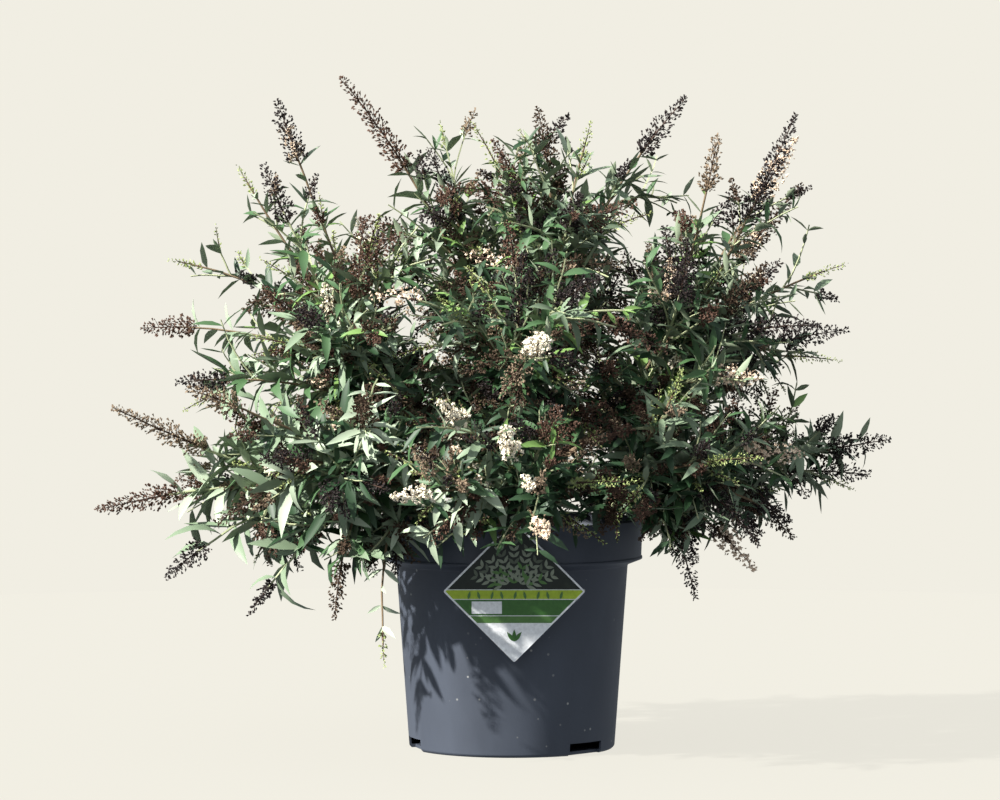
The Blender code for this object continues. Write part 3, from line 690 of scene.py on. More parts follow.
def side_twigs(parent):
    """Short shoots in pairs near the end of a longer one."""
    twigs = []
    last = spike_base(parent)
    if parent.order > 2:
        return twigs
    for j, share in enumerate(SIDE_SHARES):
        rng = random.Random(SEED * 7 + 31 * parent.number + j)
        start, along = at_share(parent.points, share * last)
        skipped = 0.20 + 0.35 * share if parent.order == 1 else 0.84
        if rng.random() < skipped or start.z < POT_HEIGHT + TWIG_OVERHANG:
            continue
        roll = math.radians(90.0 * j + rng.uniform(-30.0, 30.0))
        for way in (-1.0, 1.0):
            side = way * (Matrix.Rotation(roll, 3, along) @ level_side(along))
            lean = math.radians(rng.uniform(*SIDE_LEAN))
            length = rng.uniform(*SIDE_LENGTH) * ((1.60 if parent.order == 1 else 1.15) - 0.6 * share)
            kind = chosen(rng, SIDE_KINDS)
            heading = math.cos(lean) * along + math.sin(lean) * side + SIDE_RISE * UP
            tip = start + length * heading.normalized()
            control = start + 0.5 * length * (0.3 * along + 0.7 * heading.normalized())
            points = curve_between(start, control, tip, 5)
            spike = 0.0 if kind == "leafy" else rng.uniform(*SIDE_SPIKE)
            number = SIDE_FIRST + 40 * parent.number + 4 * j + int(way > 0.0)
            if path_is_clear(points, parent.mass, 1):
                grown = {"spike": spike, "kind": kind, "number": number, "order": parent.order + 1}
                twigs.append(Twig(parent.mass, points, **SIDE_TWIG, **grown))
    return twigs


def spike_base(twig):
    """Share of a twig's path at which its spike begins."""
    return max(0.35, 1.0 - twig.spike / path_length(twig.points)) if twig.spike else LEAFY_END


@functools.lru_cache(maxsize=None)
def grown_crown(fine_count):
    """Every twig of the crown."""
    leading = leading_tips()
    shares = [[] for _ in plan_masses()]
    for tip in leading + filling_tips(leading):
        shares[mass_of(tip.place)].append(tip)
    twigs = []
    for index, mass in enumerate(plan_masses()):
        tips = sorted(shares[index], key=lambda tip: mass.axis.angle(tip.place - HEART))
        shoots = [t for t in shoot_twigs(index, tips) if path_is_clear(t.points, index, 3)]
        finer = fine_twigs(index, shoots, fine_count, OUTER_REACH, FINE_FIRST)
        finer += fine_twigs(index, shoots + finer, 3 * fine_count // 4, INNER_REACH, INNER_FIRST)
        twigs += shoots + finer
        for parent in shoots + finer:
            twigs += side_twigs(parent)
    return tuple(twigs)


# Pieces from arrays and node trees


def add_object(name, mesh):
    obj = bpy.data.objects.new(name, mesh)
    bpy.context.scene.collection.objects.link(obj)
    return obj


def mesh_of(shape, name):
    """A mesh of the shape, which is freed."""
    mesh = bpy.data.meshes.new(name)
    shape.to_mesh(mesh)
    shape.free()
    return mesh


def closed_mesh(shape, name):
    """A mesh of a closed shape, with its faces turned outwards."""
    bmesh.ops.recalc_face_normals(shape, faces=shape.faces)
    return mesh_of(shape, name)


def settled(obj, name):
    """A plain mesh object of what the modifiers make of this one, which is removed."""
    bpy.context.view_layer.update()
    graph = bpy.context.evaluated_depsgraph_get()
    mesh = bpy.data.meshes.new_from_object(obj.evaluated_get(graph))
    bpy.data.objects.remove(obj)
    mesh.name = name
    return add_object(name, mesh)


def as_piece(obj, replaced=()):
    """Hands a finished piece to the frame."""
    if not obj.data.polygons:
        raise RuntimeError(f"{obj.name} has no faces")
    if replaced:
        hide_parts(*replaced)
    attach(obj, "root")
    return obj


def new_tree(name, **inputs):
    """A tree with a geometry in and out and the named inputs, and the sockets given to it."""
    tree = bpy.data.node_groups.new(name, "GeometryNodeTree")
    tree.interface.new_socket(name="Geometry", in_out="OUTPUT", socket_type="NodeSocketGeometry")
    for label, kind in {"Geometry": "Geometry", **inputs}.items():
        tree.interface.new_socket(name=label, in_out="INPUT", socket_type=f"NodeSocket{kind}")
    return tree, tree.nodes.new("NodeGroupInput").outputs


def add_node(tree, kind, values=None, **settings):
    """A node with its settings, and its inputs set to values or joined to the sockets given."""
    node = tree.nodes.new(kind)
    for key, value in settings.items():
        setattr(node, key, value)
    for key, value in (values or {}).items():
        if isinstance(value, bpy.types.NodeSocket):
            tree.links.new(value, node.inputs[key])
        else:
            node.inputs[key].default_value = value
    return node


def stored(tree, name, kind):
    node = add_node(tree, "GeometryNodeInputNamedAttribute", {"Name": name}, data_type=kind)
    return node.outputs["Attribute"]


def set_on_points(tree, points, patterns, values):
    """Instances of the collection's patterns on the points."""
    info = {"Collection": patterns, "Separate Children": True, "Reset Children": True}
    info = add_node(tree, "GeometryNodeCollectionInfo", info)
    values = {"Points": points, "Instance": info.outputs["Instances"], "Pick Instance": True, **values}
    return add_node(tree, "GeometryNodeInstanceOnPoints", values).outputs["Instances"]


def finish_tree(tree, geometry, material, back=None):
    """Ends a tree: realizes its instances and sets the material, and another on faces marked as back."""
    made = add_node(tree, "GeometryNodeRealizeInstances", {"Geometry": geometry})
    values = {"Geometry": made.outputs["Geometry"], "Material": material}
    made = add_node(tree, "GeometryNodeSetMaterial", values)
    if back:
        marked = stored(tree, "back", "BOOLEAN")
        values = {"Geometry": made.outputs["Geometry"], "Selection": marked, "Material": back}
        made = add_node(tree, "GeometryNodeSetMaterial", values)
    add_node(tree, "NodeGroupOutput", {"Geometry": made.outputs["Geometry"]})
    return tree


def run_tree(obj, tree, values, name, spent=()):
    """Runs a tree on an object with these inputs, and keeps the result without the spent attributes."""
    modifier = obj.modifiers.new("Grow", "NODES")
    modifier.node_group = tree
    for item in tree.interface.items_tree:
        if item.in_out == "INPUT" and item.name in values:
            modifier[item.identifier] = values[item.name]
    made = settled(obj, name)
    for label in spent:
        if label in made.data.attributes:
            made.data.attributes.remove(made.data.attributes[label])
    return made


@functools.lru_cache(maxsize=None)
def pattern_tree():
    """Sets a pattern on each point, its X along one stored direction and its Z near another."""
    tree, given = new_tree(
        "patterns_on_points", Patterns="Collection", Size="Float", Face="Material", Back="Material"
    )
    along, upper, size = (stored(tree, name, "FLOAT_VECTOR") for name in ("along", "upper", "size"))
    axes = {"primary_axis": "X", "secondary_axis": "Z"}
    rotation = add_node(tree, "FunctionNodeAxesToRotation", {0: along, 1: upper}, **axes)
    scaled = {"Vector": size, "Scale": given["Size"]}
    scale = add_node(tree, "ShaderNodeVectorMath", scaled, operation="SCALE")
    values = {
        "Instance Index": stored(tree, "pattern", "INT"),
        "Rotation": rotation.outputs["Rotation"],
        "Scale": scale.outputs["Vector"],
    }
    placed = set_on_points(tree, given["Geometry"], given["Patterns"], values)
    return finish_tree(tree, placed, given["Face"], given["Back"])


@functools.lru_cache(maxsize=None)
def tube_tree():
    """Makes a tube of each line, as thick as its points say."""
    tree, given = new_tree("tubes_along_lines", Sides="Int", Thickness="Float", Finish="Material")
    lines = add_node(tree, "GeometryNodeMeshToCurve", {"Mesh": given["Geometry"]})
    ring = {"Resolution": given["Sides"], "Radius": 1.0}
    ring = add_node(tree, "GeometryNodeCurvePrimitiveCircle", ring)
    radius = {0: stored(tree, "thick", "FLOAT"), 1: given["Thickness"]}
    radius = add_node(tree, "ShaderNodeMath", radius, operation="MULTIPLY")
    values = {
        "Curve": lines.outputs["Curve"],
        "Profile Curve": ring.outputs["Curve"],
        "Scale": radius.outputs["Value"],
        "Fill Caps": True,
    }
    tube = add_node(tree, "GeometryNodeCurveToMesh", values)
    return finish_tree(tree, tube.outputs["Mesh"], given["Finish"])


@functools.lru_cache(maxsize=None)
def crumb_tree():
    """Scatters patterns over a surface, and leaves the surface itself out."""
    inputs = {"Density": "Float", "Least": "Float", "Most": "Float", "Seed": "Int"}
    tree, given = new_tree("crumbs_on_surface", Patterns="Collection", Finish="Material", **inputs)
    surface = {"Mesh": given["Geometry"], "Density": given["Density"], "Seed": given["Seed"]}
    points = add_node(tree, "GeometryNodeDistributePointsOnFaces", surface)
    turns = {0: (0.0, 0.0, 0.0), 1: (6.28, 6.28, 6.28), "Seed": 3}
    turn = add_node(tree, "FunctionNodeRandomValue", turns, data_type="FLOAT_VECTOR")
    sizes = {2: given["Least"], 3: given["Most"], "Seed": 5}
    size = add_node(tree, "FunctionNodeRandomValue", sizes, data_type="FLOAT")
    values = {"Rotation": turn.outputs[0], "Scale": size.outputs[1]}
    placed = set_on_points(tree, points.outputs["Points"], given["Patterns"], values)
    return finish_tree(tree, placed, given["Finish"])


class Sites:
    """Points to set patterns on: where, which way, how large and which pattern."""

    def __init__(self):
        self.rows = []

    def add(self, place, along, upper, size, pattern):
        self.rows.append((place, along, upper, size, pattern))

    def mesh(self, name):
        place, along, upper, size, pattern = (np.concatenate(column) for column in zip(*self.rows))
        mesh = bpy.data.meshes.new(name)
        mesh.vertices.add(len(place))
        mesh.vertices.foreach_set("co", place.astype(np.float32).ravel())
        for label, values in (("along", along), ("upper", upper), ("size", size)):
            attribute = mesh.attributes.new(label, "FLOAT_VECTOR", "POINT")
            attribute.data.foreach_set("vector", values.astype(np.float32).ravel())
        attribute = mesh.attributes.new("pattern", "INT", "POINT")
        attribute.data.foreach_set("value", pattern.astype(np.int32).ravel())
        return mesh


def pattern_collection(name, meshes):
    """A collection, left out of the scene, with one object for each pattern."""
    collection = bpy.data.collections.new(name)
    for k, mesh in enumerate(meshes):
        collection.objects.link(bpy.data.objects.new(f"{name}_{k:02d}", mesh))
    return collection


def drop_collection(collection):
    for obj in list(collection.objects):
        bpy.data.objects.remove(obj)
    bpy.data.collections.remove(collection)


def grow_piece(name, sites, patterns, face, back, replaced=()):
    """One piece with a pattern on every site."""
    obj = add_object(name, sites.mesh(name))
    values = {"Patterns": patterns, "Size": 1.0, "Face": face, "Back": back}
    spent = ("back", "along", "upper", "size", "pattern")
    return as_piece(run_tree(obj, pattern_tree(), values, name, spent), replaced)


def tube_piece(name, lines, sides, material, replaced=()):
    """One piece of tubes. A line is its points and the radius at each."""
    places, radii, edges = [], [], []
    for points, thick in lines:
        first = len(places)
        places += [tuple(p) for p in points]
        radii += list(thick)
        edges += [(first + k, first + k + 1) for k in range(len(points) - 1)]
    mesh = bpy.data.meshes.new(name)
    mesh.from_pydata(places, edges, [])
    attribute = mesh.attributes.new("thick", "FLOAT", "POINT")
    attribute.data.foreach_set("value", np.array(radii, np.float32))
    obj = add_object(name, mesh)
    values = {"Sides": sides, "Thickness": 1.0, "Finish": material}
    piece = run_tree(obj, tube_tree(), values, name, ["thick"])
    piece.data.shade_smooth()
    piece.data.set_sharp_from_angle(angle=math.radians(60.0))
    return as_piece(piece, replaced)


# Materials


def plain_material(name, colour, roughness, specular):
    """One even finish."""
    material = bpy.data.materials.new(name)
    material.use_nodes = True
    shader = material.node_tree.nodes["Principled BSDF"]
    shader.inputs["Base Color"].default_value = (*colour, 1.0)
    shader.inputs["Roughness"].default_value = roughness
    shader.inputs["Specular IOR Level"].default_value = specular
    return material


def material_to_work(name, colour, roughness, specular):
    """An even finish with its tree and its shader, for nodes to be added to."""
    material = plain_material(name, colour, roughness, specular)
    return material, material.node_tree, material.node_tree.nodes["Principled BSDF"]


def object_noise(tree, scale, detail=4.0, stretch=(1.0, 1.0, 1.0)):
    """Noise over the piece's own coordinates."""
    place = tree.nodes.new("ShaderNodeTexCoord")
    mapping = {"Vector": place.outputs["Object"], "Scale": stretch}
    mapped = add_node(tree, "ShaderNodeMapping", mapping).outputs["Vector"]
    values = {"Vector": mapped, "Scale": scale, "Detail": detail, "Roughness": 0.6}
    return add_node(tree, "ShaderNodeTexNoise", values).outputs["Fac"]


def ranged(tree, value, low, high, first, last):
    """The value from low to high, carried over to first to last."""
    values = {"Value": value, 1: low, 2: high, 3: first, 4: last}
    return add_node(tree, "ShaderNodeMapRange", values).outputs["Result"]


def ramp(tree, factor, stops):
    """A colour ramp through stops of (position, colour)."""
    node = add_node(tree, "ShaderNodeValToRGB", {"Fac": factor})
    for k, (position, colour) in enumerate(stops):
        element = node.color_ramp.elements[k] if k < 2 else node.color_ramp.elements.new(position)
        element.position = position
        element.color = (*colour, 1.0)
    return node.outputs["Color"]


def mixed(tree, factor, first, second):
    """The first colour, and the second where the factor is one."""
    values = {0: factor, 6: first, 7: second}
    return add_node(tree, "ShaderNodeMix", values, data_type="RGBA").outputs[2]


def bump(tree, shader, height, strength, distance):
    node = add_node(tree, "ShaderNodeBump", {"Height": height, "Strength": strength, "Distance": distance})
    tree.links.new(node.outputs["Normal"], shader.inputs["Normal"])


def plastic_material(settings):
    """Dull moulded plastic with a film of dust, dried splashes and a fine grain."""
    material, tree, shader = material_to_work("moulded plastic", settings.plastic, 0.46, 0.45)
    plastic = Vector(settings.plastic)
    streaks = object_noise(tree, 9.0, 6.0, (1.0, 1.0, 0.45))
    film = ramp(tree, streaks, ((0.35, plastic * 0.86), (0.72, plastic * 1.22)))
    place = tree.nodes.new("ShaderNodeTexCoord").outputs["Object"]
    cells = add_node(tree, "ShaderNodeTexVoronoi", {"Vector": place, "Scale": 74.0, "Randomness": 1.0})
    spot = ranged(tree, cells.outputs["Distance"], 0.07, 0.13, 1.0, 0.0)
    rare = ranged(tree, object_noise(tree, 13.0, 3.0), 0.50, 0.58, 0.0, 1.0)
    both = add_node(tree, "ShaderNodeMath", {0: spot, 1: rare}, operation="MULTIPLY")
    colour = mixed(tree, both.outputs["Value"], film, (*settings.dust, 1.0))
    tree.links.new(colour, shader.inputs["Base Color"])
    rough = ranged(tree, object_noise(tree, 22.0, 4.0), 0.0, 1.0, 0.38, 0.56)
    tree.links.new(rough, shader.inputs["Roughness"])
    bump(tree, shader, object_noise(tree, 900.0, 2.0), 0.10, 0.0006)
    return material


def compost_material(settings):
    """Dark crumbly compost, paler where it has dried."""
    material, tree, shader = material_to_work("compost", settings.compost, 0.95, 0.2)
    base = Vector(settings.compost)
    stops = ((0.30, base * 0.45), (0.52, base), (0.74, base * 2.3))
    colour = ramp(tree, object_noise(tree, 160.0, 5.0), stops)
    tree.links.new(colour, shader.inputs["Base Color"])
    bump(tree, shader, object_noise(tree, 420.0, 4.0), 0.6, 0.002)
    return material


def bark_material(name, bark, furrow, scale):
    """Bark with furrows that run along the wood."""
    material, tree, shader = material_to_work(name, bark, 0.82, 0.3)
    bark, furrow = Vector(bark), Vector(furrow)
    streaks = object_noise(tree, scale, 6.0, (1.0, 1.0, 0.22))
    colour = ramp(tree, streaks, ((0.34, furrow), (0.50, bark * 0.8), (0.70, bark * 1.25)))
    tree.links.new(colour, shader.inputs["Base Color"])
    bump(tree, shader, streaks, 0.7, 0.0010)
    return material


def print_material(name, colour, roughness=0.34):
    """Ink on card: a faint mottle of its colour and a light gloss."""
    material, tree, shader = material_to_work(name, colour, roughness, 0.45)
    base = Vector(colour)
    mottle = ramp(tree, object_noise(tree, 240.0, 4.0), ((0.3, base * 0.86), (0.7, base * 1.12)))
    tree.links.new(mottle, shader.inputs["Base Color"])
    return material


# Pot and compost


def turned(name, profile, steps):
    """A closed shape turned about Z from a profile that starts and ends on the axis."""
    line = bpy.data.meshes.new(name)
    edges = [(k, k + 1) for k in range(len(profile) - 1)]
    line.from_pydata([(radius, 0.0, height) for radius, height in profile], edges, [])
    obj = add_object(name, line)
    screw = obj.modifiers.new("Turn", "SCREW")
    screw.steps = screw.render_steps = steps
    screw.use_merge_vertices = True
    screw.merge_threshold = 1e-5
    made = settled(obj, name)
    shape = bmesh.new()
    shape.from_mesh(made.data)
    bmesh.ops.remove_doubles(shape, verts=shape.verts, dist=1e-6)
    bmesh.ops.recalc_face_normals(shape, faces=shape.faces)
    shape.to_mesh(made.data)
    shape.free()
    return made


def rounded(corner, before, after, radius, count=4):
    """Points of a rounded corner of a profile."""
    corner, before, after = Vector(corner), Vector(before), Vector(after)
    start = corner + radius * (before - corner).normalized()
    end = corner + radius * (after - corner).normalized()
    return [tuple(p) for p in curve_between(start, corner, end, count)]


def pot_profile(lip, bead):
    """Down from the middle of the floor inside, over the rim, and down the outside, with rounded edges."""
    step_top = POT_HEIGHT - COLLAR_DEPTH
    step_low = step_top - COLLAR_STEP_DEPTH
    corners = (
        ((0.0, POT_FLOOR), 0.0),
        ((BODY_FOOT_RADIUS - POT_WALL, POT_FLOOR), 0.0015),
        ((BODY_TOP_RADIUS - POT_WALL, step_low), 0.0015),
        ((COLLAR_LOW_RADIUS - POT_WALL, step_top + POT_WALL), 0.0015),
        ((COLLAR_TOP_RADIUS - POT_WALL, POT_HEIGHT), lip),
        ((COLLAR_TOP_RADIUS, POT_HEIGHT), lip),
        ((COLLAR_LOW_RADIUS, step_top + 2.4 * bead), 0.3 * bead),
        ((COLLAR_LOW_RADIUS + 0.8 * bead, step_top + 1.5 * bead), 0.3 * bead),
        ((COLLAR_LOW_RADIUS + 0.8 * bead, step_top), 0.4 * bead),
        ((BODY_TOP_RADIUS, step_low), 0.0020),
        ((BODY_FOOT_RADIUS, FOOT_BEVEL), 0.0012),
        ((BODY_FOOT_RADIUS - FOOT_BEVEL, 0.0), 0.0006),
        ((0.0, 0.0), 0.0),
    )
    profile = []
    for k, (corner, radius) in enumerate(corners):
        if radius:
            profile += rounded(corner, corners[k - 1][0], corners[k + 1][0], radius)
        else:
            profile.append(corner)
    return profile


def cut_slot(pot, turn):
    """Cuts one drainage slot in the foot of the wall."""
    middle = (BODY_FOOT_RADIUS + FOOT_BEVEL - 0.5 * SLOT_DEPTH) * direction(turn, 0.0)
    shape = bmesh.new()
    bmesh.ops.create_cube(shape, size=1.0)
    place = Matrix.Translation(middle) @ Matrix.Rotation(math.radians(turn), 4, "Z")
    shape.transform(place @ Matrix.Diagonal((SLOT_WIDTH, SLOT_DEPTH, 2.0 * SLOT_HEIGHT, 1.0)))
    cutter = add_object("slot", mesh_of(shape, "slot"))
    boolean = pot.modifiers.new("Slot", "BOOLEAN")
    boolean.operation = "DIFFERENCE"
    boolean.solver = "EXACT"
    boolean.object = cutter
    made = settled(pot, "pot_shell")
    bpy.data.objects.remove(cutter)
    return made


class BUSH_OT_pot(bpy.types.Operator):
    """Makes the moulded pot, with its collar, rounded rim and drainage slots"""

    bl_idname = "bush.pot"
    bl_label = "Pot"

    def execute(self, context):
        settings = context.scene.bush_pot
        pot = turned("pot_shell", pot_profile(settings.lip, settings.bead), settings.sides)
        for k in range(SLOT_COUNT):
            pot = cut_slot(pot, SLOT_FIRST_TURN + 360.0 * k / SLOT_COUNT)
        pot.data.materials.clear()
        pot.data.materials.append(plastic_material(settings))
        pot.data.shade_smooth()
        pot.data.set_sharp_from_angle(angle=math.radians(34.0))
        as_piece(pot, ["pot"])
        return {"FINISHED"}


def crumb_patterns(size):
    """A few angular crumbs."""
    meshes = []
    for k in range(4):
        rng = random.Random(SEED + 70 + k)
        shape = bmesh.new()
        bmesh.ops.create_icosphere(shape, subdivisions=1, radius=0.5 * size)
        stretch = Vector((1.0, rng.uniform(0.5, 0.9), rng.uniform(0.35, 0.8)))
        for corner in shape.verts:
            corner.co = Vector([a * b * rng.uniform(0.75, 1.15) for a, b in zip(corner.co, stretch)])
        meshes.append(mesh_of(shape, "crumb"))
    return meshes


class BUSH_OT_compost(bpy.types.Operator):
    """Makes the compost in the pot, with crumbs scattered on its top"""

    bl_idname = "bush.compost"
    bl_label = "Compost"

    def execute(self, context):
        settings = context.scene.bush_pot
        radius = SOIL_HIGH.x
        profile = [(radius * k / SOIL_RINGS, SOIL_TOP) for k in range(SOIL_RINGS + 1)]
        profile += [(radius, SOIL_TOP - SOIL_SHOWN), (0.0, SOIL_TOP - SOIL_SHOWN)]
        soil = turned("compost_fill", profile, SOIL_STEPS)
        for corner in soil.data.vertices:
            if corner.co.z > SOIL_TOP - 0.001:
                rough = noise.fractal(corner.co * 60.0, 0.9, 2.0, 4)
                mound = noise.noise(corner.co * 14.0)
                corner.co.z += 0.0014 * rough + 0.0022 * mound - 0.0030
        material = compost_material(settings)
        patterns = pattern_collection("crumb", crumb_patterns(settings.crumb))
        values = {"Patterns": patterns, "Finish": material, **CRUMBS}
        shape = bmesh.new()
        shape.from_mesh(soil.data)
        inner = radius - 0.5 * settings.crumb
        bare = [f for f in shape.faces if f.normal.z <= 0.3 or f.calc_center_median().xy.length >= inner]
        bmesh.ops.delete(shape, geom=bare, context="FACES")
        top = add_object("compost_top", mesh_of(shape, "compost_top"))
        crumbs = run_tree(top, crumb_tree(), values, "compost_crumbs")
        drop_collection(patterns)
        shape = bmesh.new()
        shape.from_mesh(soil.data)
        shape.from_mesh(crumbs.data)
        shape.to_mesh(soil.data)
        shape.free()
        bpy.data.objects.remove(crumbs)
        soil.data.materials.clear()
        soil.data.materials.append(material)
        as_piece(soil, ["soil"])
        return {"FINISHED"}


# Label


def plate(outline, low, high):
    """A flat plate of the outline in XY, from one height to another."""
    shape = bmesh.new()
    face = shape.faces.new([shape.verts.new((x, y, low)) for x, y in outline])
    top = bmesh.ops.extrude_face_region(shape, geom=[face])["geom"]
    corners = [item for item in top if isinstance(item, bmesh.types.BMVert)]
    bmesh.ops.translate(shape, vec=(0.0, 0.0, high - low), verts=corners)
    return closed_mesh(shape, "plate")


def diamond(half, corner=0.0, count=4):
    """A square stood on its corner, with its corners rounded."""
    corners = [Vector((0.0, half)), Vector((-half, 0.0)), Vector((0.0, -half)), Vector((half, 0.0))]
    if not corner:
        return [tuple(c) for c in corners]
    outline = []
    for k, place in enumerate(corners):
        outline += rounded(place, corners[k - 1], corners[(k + 1) % 4], corner, count)
    return outline


def band_of(half, low, high, left=-1.0, right=1.0):
    """The part of a square stood on its corner between two heights and two sides, all as shares of half."""
    outline = [Vector(c) for c in diamond(half)]
    for axis, limit, sign in ((1, low, 1.0), (1, high, -1.0), (0, left, 1.0), (0, right, -1.0)):
        kept = []
        for a, b in zip(outline, outline[1:] + outline[:1]):
            inside_a = sign * (a[axis] - limit * half) >= 0.0
            inside_b = sign * (b[axis] - limit * half) >= 0.0
            if inside_a:
                kept.append(a)
            if inside_a != inside_b:
                kept.append(a.lerp(b, (limit * half - a[axis]) / (b[axis] - a[axis])))
        outline = kept
    return [tuple(p) for p, q in zip(outline, outline[1:] + outline[:1]) if (p - q).length > 1e-6]


def blade(root, turn, length, width, count=7):
    """Outline of a printed leaf: its root, its turn from upright in degrees, its length and width."""
    along = Vector((math.sin(math.radians(turn)), math.cos(math.radians(turn))))
    across = Vector((along.y, -along.x))
    left, right = [], []
    for k in range(1, count):
        t = k / count
        half = 0.5 * width * math.sin(math.pi * t ** 0.8)
        left.append(Vector(root) + t * length * along - half * across)
        right.append(Vector(root) + t * length * along + half * across)
    return [tuple(p) for p in [Vector(root)] + right + [Vector(root) + length * along] + left[::-1]]


INKS = {
    "night": "night",
    "dusk": "grey",
    "sprig": "silver",
    "meadow": "meadow",
    "band": "band",
    "stripe": "stripe",
}


def label_inks(settings):
    """The printed shapes, from the card up: ink, outline and layer."""
    half = 0.5 * LABEL_DIAGONAL - settings.border * math.sqrt(2.0)
    shapes = [
        ("night", band_of(half, 0.03, 1.0), 1),
        ("meadow", band_of(half, -0.11, 0.02), 1),
        ("band", band_of(half, -0.35, -0.12), 1),
        ("stripe", band_of(half, -0.46, -0.36), 1),
    ]
    for k in range(-4, 5):
        fan = SPRIG_TURN * k
        stem = Vector((math.sin(math.radians(fan)), math.cos(math.radians(fan))))
        for j in range(8):
            knot = Vector((0.0022 * k, 0.0040)) + (0.0045 + 0.0068 * j + 0.002 * (k % 2)) * stem
            if knot.y < 0.0035 or half - abs(knot.x) - knot.y < 0.0125:
                continue
            for turn in (-46.0, 40.0):
                ink = "sprig" if (j + k) % 3 else "stripe" if j < 3 else "dusk"
                shapes.append((ink, blade(knot, fan + turn, 0.0105 - 0.0005 * j, 0.0034), 2))
    for k in range(9):
        shapes.append(("stripe", blade((-0.048 + 0.012 * k, -0.008), (-1) ** k * 14.0, 0.0088, 0.0030), 2))
    shapes.append(("card", band_of(half, -0.325, -0.145, -0.62, -0.18), 2))
    for turn in (-38.0, 0.0, 38.0):
        shapes.append(("band", blade((0.0, -0.052), turn, 0.0125, 0.0042), 1))
    return shapes


class BUSH_OT_label(bpy.types.Operator):
    """Makes the hanging label with its strap and a plain printed pattern of leaves"""

    bl_idname = "bush.label"
    bl_label = "Label"

    def execute(self, context):
        settings = context.scene.bush_label
        inks = {"card": print_material("label card", settings.card, 0.30)}
        for ink, look in INKS.items():
            inks[ink] = print_material(f"ink {look} green", getattr(settings, ink))
        forward = COLLAR_TOP_RADIUS + CLEARANCE + 0.5 * LABEL_THICKNESS
        middle = Vector((LABEL_SIDESTEP, -forward, POT_HEIGHT + LABEL_TOP_ABOVE_RIM - 0.5 * LABEL_DIAGONAL))
        upright = Matrix.Rotation(math.radians(90.0), 4, "X")
        hung = Matrix.Translation(middle) @ upright
        half_thick = 0.5 * LABEL_THICKNESS
        shapes = [("card", plate(diamond(0.5 * LABEL_DIAGONAL, LABEL_CORNER), -half_thick, half_thick), hung)]
        for number, (ink, outline, layer) in enumerate(label_inks(settings)):
            top = half_thick + INK_LAYER * layer + INK_STEP * number
            shapes.append((ink, plate(outline, half_thick - INK_DEPTH, top), hung))
        inside = COLLAR_TOP_RADIUS - POT_WALL - STRAP_INSET
        low, under = POT_HEIGHT - STRAP_DROP, POT_HEIGHT + CLEARANCE
        over, behind = under + LABEL_THICKNESS, inside - LABEL_THICKNESS
        outer = ((-forward, under), (-forward, over), (-behind, over))
        strap = (*outer, (-behind, low), (-inside, low), (-inside, under))
        aside = Matrix.Translation((LABEL_SIDESTEP, 0.0, 0.0))
        sideways = aside @ Matrix.Rotation(math.radians(90.0), 4, "Z") @ upright
        shapes.append(("card", plate(strap, -0.5 * STRAP_WIDTH, 0.5 * STRAP_WIDTH), sideways))
        shape = bmesh.new()
        order = list(inks)
        for ink, mesh, place in shapes:
            mesh.transform(place)
            first = len(shape.faces)
            shape.from_mesh(mesh)
            shape.faces.ensure_lookup_table()
            for face in shape.faces[first:]:
                face.material_index = order.index(ink)
            bpy.data.meshes.remove(mesh)
        mesh = mesh_of(shape, "hanging_label")
        for ink in order:
            mesh.materials.append(inks[ink])
        as_piece(add_object("hanging_label", mesh), ["label"])
        return {"FINISHED"}


# Wood


def ring_mesh(name, points, radius_at, sides):
    """A closed tube along the points, as thick as radius_at says for a share, an angle and a place."""
    shape = bmesh.new()
    rings = []
    normal = Vector((1.0, 0.0, 0.0))
    for k, point in enumerate(points):
        ahead = (points[min(k + 1, len(points) - 1)] - points[max(k - 1, 0)]).normalized()
        normal = (normal - ahead * normal.dot(ahead)).normalized()
        other = ahead.cross(normal)
        share = k / (len(points) - 1)
        ring = []
        for j in range(sides):
            angle = 2.0 * math.pi * j / sides
            way = math.cos(angle) * normal + math.sin(angle) * other
            ring.append(shape.verts.new(point + radius_at(share, angle, point) * way))
        rings.append(ring)
    for a, b in zip(rings, rings[1:]):
        for j in range(sides):
            shape.faces.new((a[j], a[(j + 1) % sides], b[(j + 1) % sides], b[j]))
    for ring, point in ((rings[0], points[0]), (rings[-1], points[-1])):
        middle = shape.verts.new(point)
        for j in range(sides):
            shape.faces.new((ring[j], ring[(j + 1) % sides], middle))
    mesh = closed_mesh(shape, name)
    mesh.shade_smooth()
    return mesh


def furrows(angle, height, count, depth):
    """How far bark is cut in at an angle and height: long ridges that wander and break."""
    wander = 0.7 * noise.noise(Vector((2.0 * math.cos(angle), 2.0 * math.sin(angle), height * 26.0)))
    ridge = abs(math.sin(0.5 * count * angle + 3.0 * wander))
    broken = 0.5 + 0.5 * noise.noise(Vector((5.0 * math.cos(angle), 5.0 * math.sin(angle), height * 90.0)))
    return depth * ((1.0 - ridge) ** 2 * 0.8 + 0.4 * broken)


